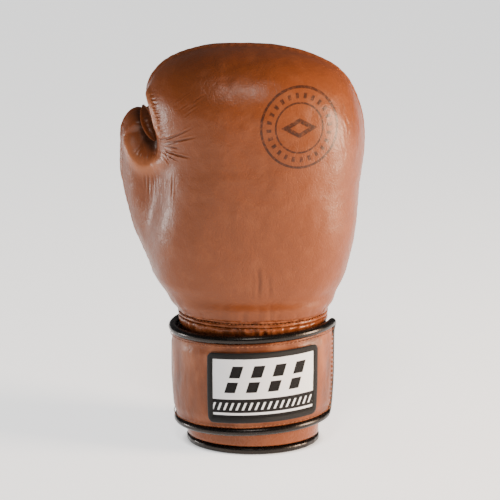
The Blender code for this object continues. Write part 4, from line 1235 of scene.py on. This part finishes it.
def build_strap():
    edge = PIPING + 0.5 * GAP
    per = arc_per_degree(HINGE_DEG)
    start, finish = ROOT_DEG + edge / per, END_DEG - edge / arc_per_degree(END_DEG)
    halves = (
        ("root", start, LAP_DEG - 0.12, "glove", "strap_palm", HINGE_DEG, 5.0),
        ("free", LAP_DEG + 0.12, finish, "strap_palm", "strap_back", FOLD_DEG, 7.0),
    )
    nodes = {
        "root": {
            "face": ("strap_root_leather", "strap_root_core", "strap_palm_leather", "strap_palm_core"),
            "back": ("strap_root_lining", "strap_palm_lining"),
        },
        "free": {"face": ("strap_back_leather", "strap_back_core"), "back": ("strap_back_lining",)},
    }
    for k, (name, low, high, first, second, joint, reach) in enumerate(halves):
        span = (low, high)
        face = band(f"strap_face_{name}", *span, CORE_OUT + 0.0002, STRAP_FACE, "leather", edge, 0.0016, k)
        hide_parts(*nodes[name]["face"])
        back = band(f"strap_lining_{name}", *span, STRAP_OUT, STRAP_OUT + LINING, "lining", edge, seed=k + 5)
        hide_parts(*nodes[name]["back"])
        pieces = [face, back]
        for where, z, way in (("top", STRAP_HIGH, -1.0), ("bottom", STRAP_LOW, 1.0)):
            degrees = np.linspace(low + 0.5, high - 0.5, 400)
            line = on_strap(degrees, z + way * (PIPING + 0.0017), STRAP_FACE - 0.0005)
            pieces.append(stitches(f"strap_{name}_stitches_{where}", line, outward_of))
        for piece in pieces:
            blend_at(piece, joint)
    for where, z in (("top", STRAP_HIGH), ("bottom", STRAP_LOW)):
        path = strap_edge(ROOT_DEG, LAP_DEG, z, 160)
        stretches = (f"strap_root_piping_{where}", f"strap_palm_piping_{where}")
        line = piping(f"piping_root_{where}", path, stretches, 40)
        blend_at(line, HINGE_DEG)
    line = piping("piping_free", piping_path(LAP_DEG, END_DEG), ("strap_back_piping",), 44)
    blend_at(line, FOLD_DEG)
    degrees = END_DEG - (PIPING + 0.0030) / arc_per_degree(END_DEG)
    ends = stitches(
        "strap_end_stitches",
        on_strap(degrees, np.linspace(STRAP_LOW + 0.009, STRAP_HIGH - 0.009, 60), STRAP_FACE - 0.0001),
        outward_of,
    )
    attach(ends, "strap_back")
    degrees = ROOT_DEG + (PIPING + 0.0030) / per
    ends = stitches(
        "strap_root_stitches",
        on_strap(degrees, np.linspace(STRAP_LOW + 0.007, STRAP_HIGH - 0.007, 60), STRAP_FACE - 0.0001),
        outward_of,
    )
    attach(ends, "glove")


def build_tapes():
    middle = STRAP_MID
    for name, span, out, place, body in (
        ("loop_tape", (255.0, 382.0), 2 * GAP, on_cuff, "glove"),
        ("hook_tape", (302.0, 345.0), 4 * GAP + 0.0007, on_strap, "strap_back"),
    ):
        degrees = np.linspace(span[0], span[1], 220)[:, None]
        z = np.linspace(middle - 0.022, middle + 0.022, 70)[None, :]
        fuzz = noise_at(place(degrees, z, out), 1500.0, 50) * 0.00018
        outer, inner = place(degrees, z, out + 0.0006), place(degrees, z, out)
        if name == "loop_tape":
            outer = place(degrees, z, out + 0.00055 + fuzz)
        else:
            inner = place(degrees, z, out + 0.00015 + fuzz)
        tape = sheet_body(name + "_cloth", outer, inner, name)
        stands_for(tape, body, name)


def build_label():
    middle = STRAP_MID - LABEL_DROP
    low, high = middle - 0.5 * LABEL_TALL, middle + 0.5 * LABEL_TALL
    out = STRAP_FACE + 2 * GAP
    per = arc_per_degree(0.5 * sum(LABEL_DEG), middle, out)
    inset = LABEL_BORDER * 0.86
    degrees = np.linspace(LABEL_DEG[0] + inset / per, LABEL_DEG[1] - inset / per, 150)[:, None]
    z = np.linspace(low + inset, high - inset, 90)[None, :]
    lumps = 0.00012 * noise_at(on_strap(degrees, z, out), 90.0, 60)
    outer, inner = on_strap(degrees, z, out + 0.0007 + lumps), on_strap(degrees, z, out - 0.0002 + 0 * lumps)
    ground = sheet_body("label_cloth", outer, inner, "label_white")
    stands_for(ground, "strap_back", "label_ground")
    border_line(low, high, out, per)


def border_line(low, high, out, per):
    """The merrowed edge: thread wound over the patch's edge, one turn beside the next."""
    half = 0.5 * LABEL_BORDER
    corner = 0.0022
    left, right = LABEL_DEG[0] + half / per, LABEL_DEG[1] - half / per
    bottom, top = low + half, high - half
    corners = ((right, top, 0), (left, top, 90), (left, bottom, 180), (right, bottom, 270))
    flat = []
    for cx, cz, begin in corners:
        sx = -1.0 if cx == right else 1.0
        sz = -1.0 if cz == top else 1.0
        for turn in np.radians(np.linspace(begin, begin + 90, 7)):
            x, z = corner * (sx + math.cos(turn)), corner * (sz + math.sin(turn))
            flat.append((cx * per + x, 0.0, cz + z))
    flat = resampled(np.array(flat), 0.00035, True)
    side = frames_along(flat, True, np.array((0.0, 1.0, 0.0)))[1]
    n, sides = len(flat), 14
    turn = np.linspace(0, 2 * math.pi, sides, endpoint=False)
    along = np.arange(n) * 0.00035
    wound = 0.5 + 0.5 * np.cos(2 * math.pi * (along[:, None] / 0.00125 + 0.22 * np.cos(turn)[None, :]))
    draw = noise_at(flat, 700.0, 61)[:, None]
    reach = half * (0.97 + 0.05 * wound + 0.04 * draw) * np.cos(turn)
    lift = 0.0008 * (1 + (0.92 + 0.14 * wound) * np.sin(turn))
    spot = flat[:, None] + side[:, None] * reach[..., None]
    grid = on_strap(spot[..., 0] / per, spot[..., 2], out - 0.0002 + lift)
    faces = ring_faces(n, sides, True)
    border = new_piece("label_edge", grid.reshape(-1, 3), faces, "label_black", ((wound - 0.5) * 0.4).ravel())
    stands_for(border, "strap_back", "label_border")


def copy_of(node, name, look, levels, scale, amount):
    """A finer copy of a CAD node's mesh, softened and roughened like cloth."""
    source = frame["nodes"][node]
    mesh = source.data.copy()
    obj = bpy.data.objects.new(name, mesh)
    bpy.context.scene.collection.objects.link(obj)
    weld = obj.modifiers.new("weld", "WELD")
    weld.merge_threshold = 0.00002
    subdivide = obj.modifiers.new("finer", "SUBSURF")
    subdivide.levels = subdivide.render_levels = levels
    mesh = settled(obj)
    mesh.materials.clear()
    n = len(mesh.vertices)
    co = np.empty(n * 3)
    mesh.vertices.foreach_get("co", co)
    co = co.reshape(-1, 3)
    normals = np.empty(n * 3, np.float32)
    mesh.vertex_normals.foreach_get("vector", normals)
    lumps = noise_at(co, scale, 70, 2)
    co += normals.reshape(-1, 3) * (amount * lumps)[:, None]
    mesh.vertices.foreach_set("co", co.astype(np.float32).ravel())
    return finish_piece(name, mesh, look, 0.3 * lumps)


def build_inside():
    for node, body in (("hand_lining", "glove"), ("thumb_lining", "thumb")):
        cloth = copy_of(node, node + "_cloth", "lining", 2, 45.0, 0.00035)
        stands_for(cloth, body, node)
    low, high = (np.array(p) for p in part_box("grip_bar"))
    middle = 0.5 * (low + high)
    radius = 0.5 * (high[2] - low[2])
    x = np.linspace(low[0], high[0], 90)
    path = np.stack((x, np.full(90, middle[1]), np.full(90, middle[2])), -1)
    lumps = noise_at(path, 110.0, 72, 2)
    bar = tube("grip_roll", path, (radius * (0.97 + 0.03 * lumps))[:, None], "lining", UP, 28)
    declare_padded(bar, "glove", 1.0, "grip_bar")
    build_tether()


def build_tether():
    """The short strap in the crease that ties the thumb to the fist: a leaf with a sunk middle."""
    spine = on_back(CREASE_TREE, (TETHER_TOP, (-0.0672, 0.2425), TETHER_END), 60)
    for _ in range(25):
        spine[1:-1] += 0.5 * (0.5 * (spine[:-2] + spine[2:]) - spine[1:-1])
    t = np.linspace(0, 1, len(spine))[:, None]
    across = np.linspace(-1, 1, 28)[None, :]
    side = frames_along(spine, False, np.array((0.0, -1.0, 0.0)))[1]
    wide = 0.0050 * np.sin(math.pi * np.clip(t, 0.03, 0.97)) ** 0.7
    sunk = 0.0034 * (1 - across**2) * np.sin(math.pi * t) ** 0.5 + 0.0016 * (1 - np.sin(math.pi * t)) - 0.0032
    crimp = noise_at(np.stack((t * 30 + 0 * across, across * 2 + 0 * t, 0 * t + 0 * across), -1), 0.5, 80)
    base = spine[:, None] + side[:, None] * (wide * across)[..., None]
    deep = np.array((0.0, 1.0, 0.0))
    outer = base + deep * (sunk + 0.0004 + 0.0003 * crimp)[..., None]
    # Painted highlight along the leaf's edges and painted shade down its sunk middle.
    fold_shading = 0.45 * np.abs(across) ** 5 - 0.34 * (1 - across**4) + 0.10 * crimp
    tether = sheet_body("thumb_tether", outer, outer + deep * 0.0013, "leather", fold_shading)
    stands_for(tether, "thumb", "thumb_lock")


# Radius and height of the vent ring's section, from the bottom of its barrel to its outer edge
EYELET_PROFILE = (
    (0.0, -0.0022),
    (0.00145, -0.0022),
    (0.0015, 0.0002),
    (0.0019, 0.0007),
    (0.0027, 0.0008),
    (0.0034, 0.0006),
    (0.0038, 0.0001),
    (0.0038, -0.0006),
)


def build_eyelets():
    """Turned vent rings set in the palm's leather, with a dark barrel."""
    for number in range(1, 7):
        low, high = (np.array(p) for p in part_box(f"vent_eyelet_{number}"))
        middle = 0.5 * (low + high)
        face = SKIN_TREE.ray_cast(Vector((middle[0], 0.2, middle[2])), Vector((0, -1, 0)))
        spot, normal = np.array(face[0][:]), np.array(face[1][:])
        turn = np.linspace(0, 2 * math.pi, 40, endpoint=False)
        side = np.cross(normal, UP)
        side /= np.linalg.norm(side)
        top = np.cross(side, normal)
        r, h = (column[None, :, None] for column in np.array(EYELET_PROFILE).T)
        spoke = np.cos(turn)[:, None, None] * side + np.sin(turn)[:, None, None] * top
        grid = spot + r * spoke + h * normal
        faces = grid_faces(40, len(EYELET_PROFILE), 0, True)
        ring = new_piece(f"vent_ring_{number}", grid.reshape(-1, 3), faces, "eyelet")
        stands_for(ring, "glove", f"vent_eyelet_{number}")


build_welts()
build_cuff()
build_hem()
build_slit()
build_neck()
build_strap()
build_tapes()
build_label()
build_inside()
build_eyelets()


# ---------------------------------------------------------------- studio


def build_studio():
    floor_mesh = bpy.data.meshes.new("floor")
    corners = [(x * FLOOR_HALF, y * FLOOR_HALF, 0) for x, y in ((-1, -1), (1, -1), (1, 1), (-1, 1))]
    floor_mesh.from_pydata(corners, [], [(0, 1, 2, 3)])
    floor = bpy.data.objects.new("floor", floor_mesh)
    bpy.context.scene.collection.objects.link(floor)
    glowing_floor = Finish("glowing_floor_paper", Roughness=0.85)
    tint = glowing_floor.noise(glowing_floor.coords(), 3.0, 2.0)
    glowing_floor.set("Base Color", glowing_floor.mix(tint, rgb(244, 244, 245), rgb(250, 250, 250)))
    # The floor glows as a light from below, except within the hem's outline, where the glow is cut off as a
    # painted shadow under the glove.
    glowing_floor.shader.inputs["Emission Color"].default_value = (1.0, 1.0, 1.0, 1.0)
    spot = glowing_floor.node("SeparateXYZ", Vector=glowing_floor.coords())
    x = glowing_floor.math("DIVIDE", glowing_floor.minus(spot.outputs["X"], float(AXIS[0])), HEM_WIDTH)
    y = glowing_floor.math("DIVIDE", glowing_floor.minus(spot.outputs["Y"], float(AXIS[1])), HEM_DEPTH)
    away = glowing_floor.math("SQRT", glowing_floor.plus(glowing_floor.times(x, x), glowing_floor.times(y, y)))
    glowing_floor.set("Emission Strength", glowing_floor.ramp(away, 0.92, 1.10, 0.0, FLOOR_GLOW))
    floor_mesh.materials.append(glowing_floor.material)
    world = bpy.context.scene.world or bpy.data.worlds.new("studio")
    bpy.context.scene.world = world
    world.use_nodes = True
    back = world.node_tree.nodes["Background"]
    back.inputs["Color"].default_value = (1.0, 1.0, 1.0, 1.0)
    back.inputs["Strength"].default_value = WORLD_LIGHT
    for name, place, size, power, tint in LIGHTS:
        data = bpy.data.lights.new(name, "AREA")
        data.shape = "RECTANGLE"
        data.size, data.size_y = size
        data.energy = power
        data.color = tint
        lamp = bpy.data.objects.new(name, data)
        bpy.context.scene.collection.objects.link(lamp)
        lamp.location = place
        lamp.rotation_euler = (Vector((0, 0, 0.14)) - Vector(place)).to_track_quat("-Z", "Y").to_euler()


WORLD_LIGHT, FLOOR_GLOW, FLOOR_HALF = 0.10, 1.35, 14.0
LIGHTS = (
    ("key", (1.25, -0.36, 0.25), (0.40, 0.9), 72.0, (1.0, 0.78, 0.58)),
    ("front", (-0.10, -0.90, 1.30), (0.30, 0.25), 7.5, (1.0, 1.0, 1.0)),
    ("left", (-1.10, 0.16, 0.10), (0.25, 0.20), 5.0, (1.0, 1.0, 1.0)),
)


LENS_MM, CAMERA_TARGET, CAMERA_RISE, CAMERA_REACH = 150.0, (0.0059, 0.0, 0.1440), math.radians(14.0), 1.54


def build_camera():
    data = bpy.data.cameras.new("camera")
    data.lens = LENS_MM
    data.sensor_width = 36.0
    data.clip_start = 0.05
    camera = bpy.data.objects.new("camera", data)
    bpy.context.scene.collection.objects.link(camera)
    target = Vector(CAMERA_TARGET)
    away = Vector((0.0, -math.cos(CAMERA_RISE), math.sin(CAMERA_RISE)))
    camera.location = target + CAMERA_REACH * away
    camera.rotation_euler = (target - camera.location).to_track_quat("-Z", "Y").to_euler()
    bpy.context.scene.camera = camera


build_studio()
build_camera()
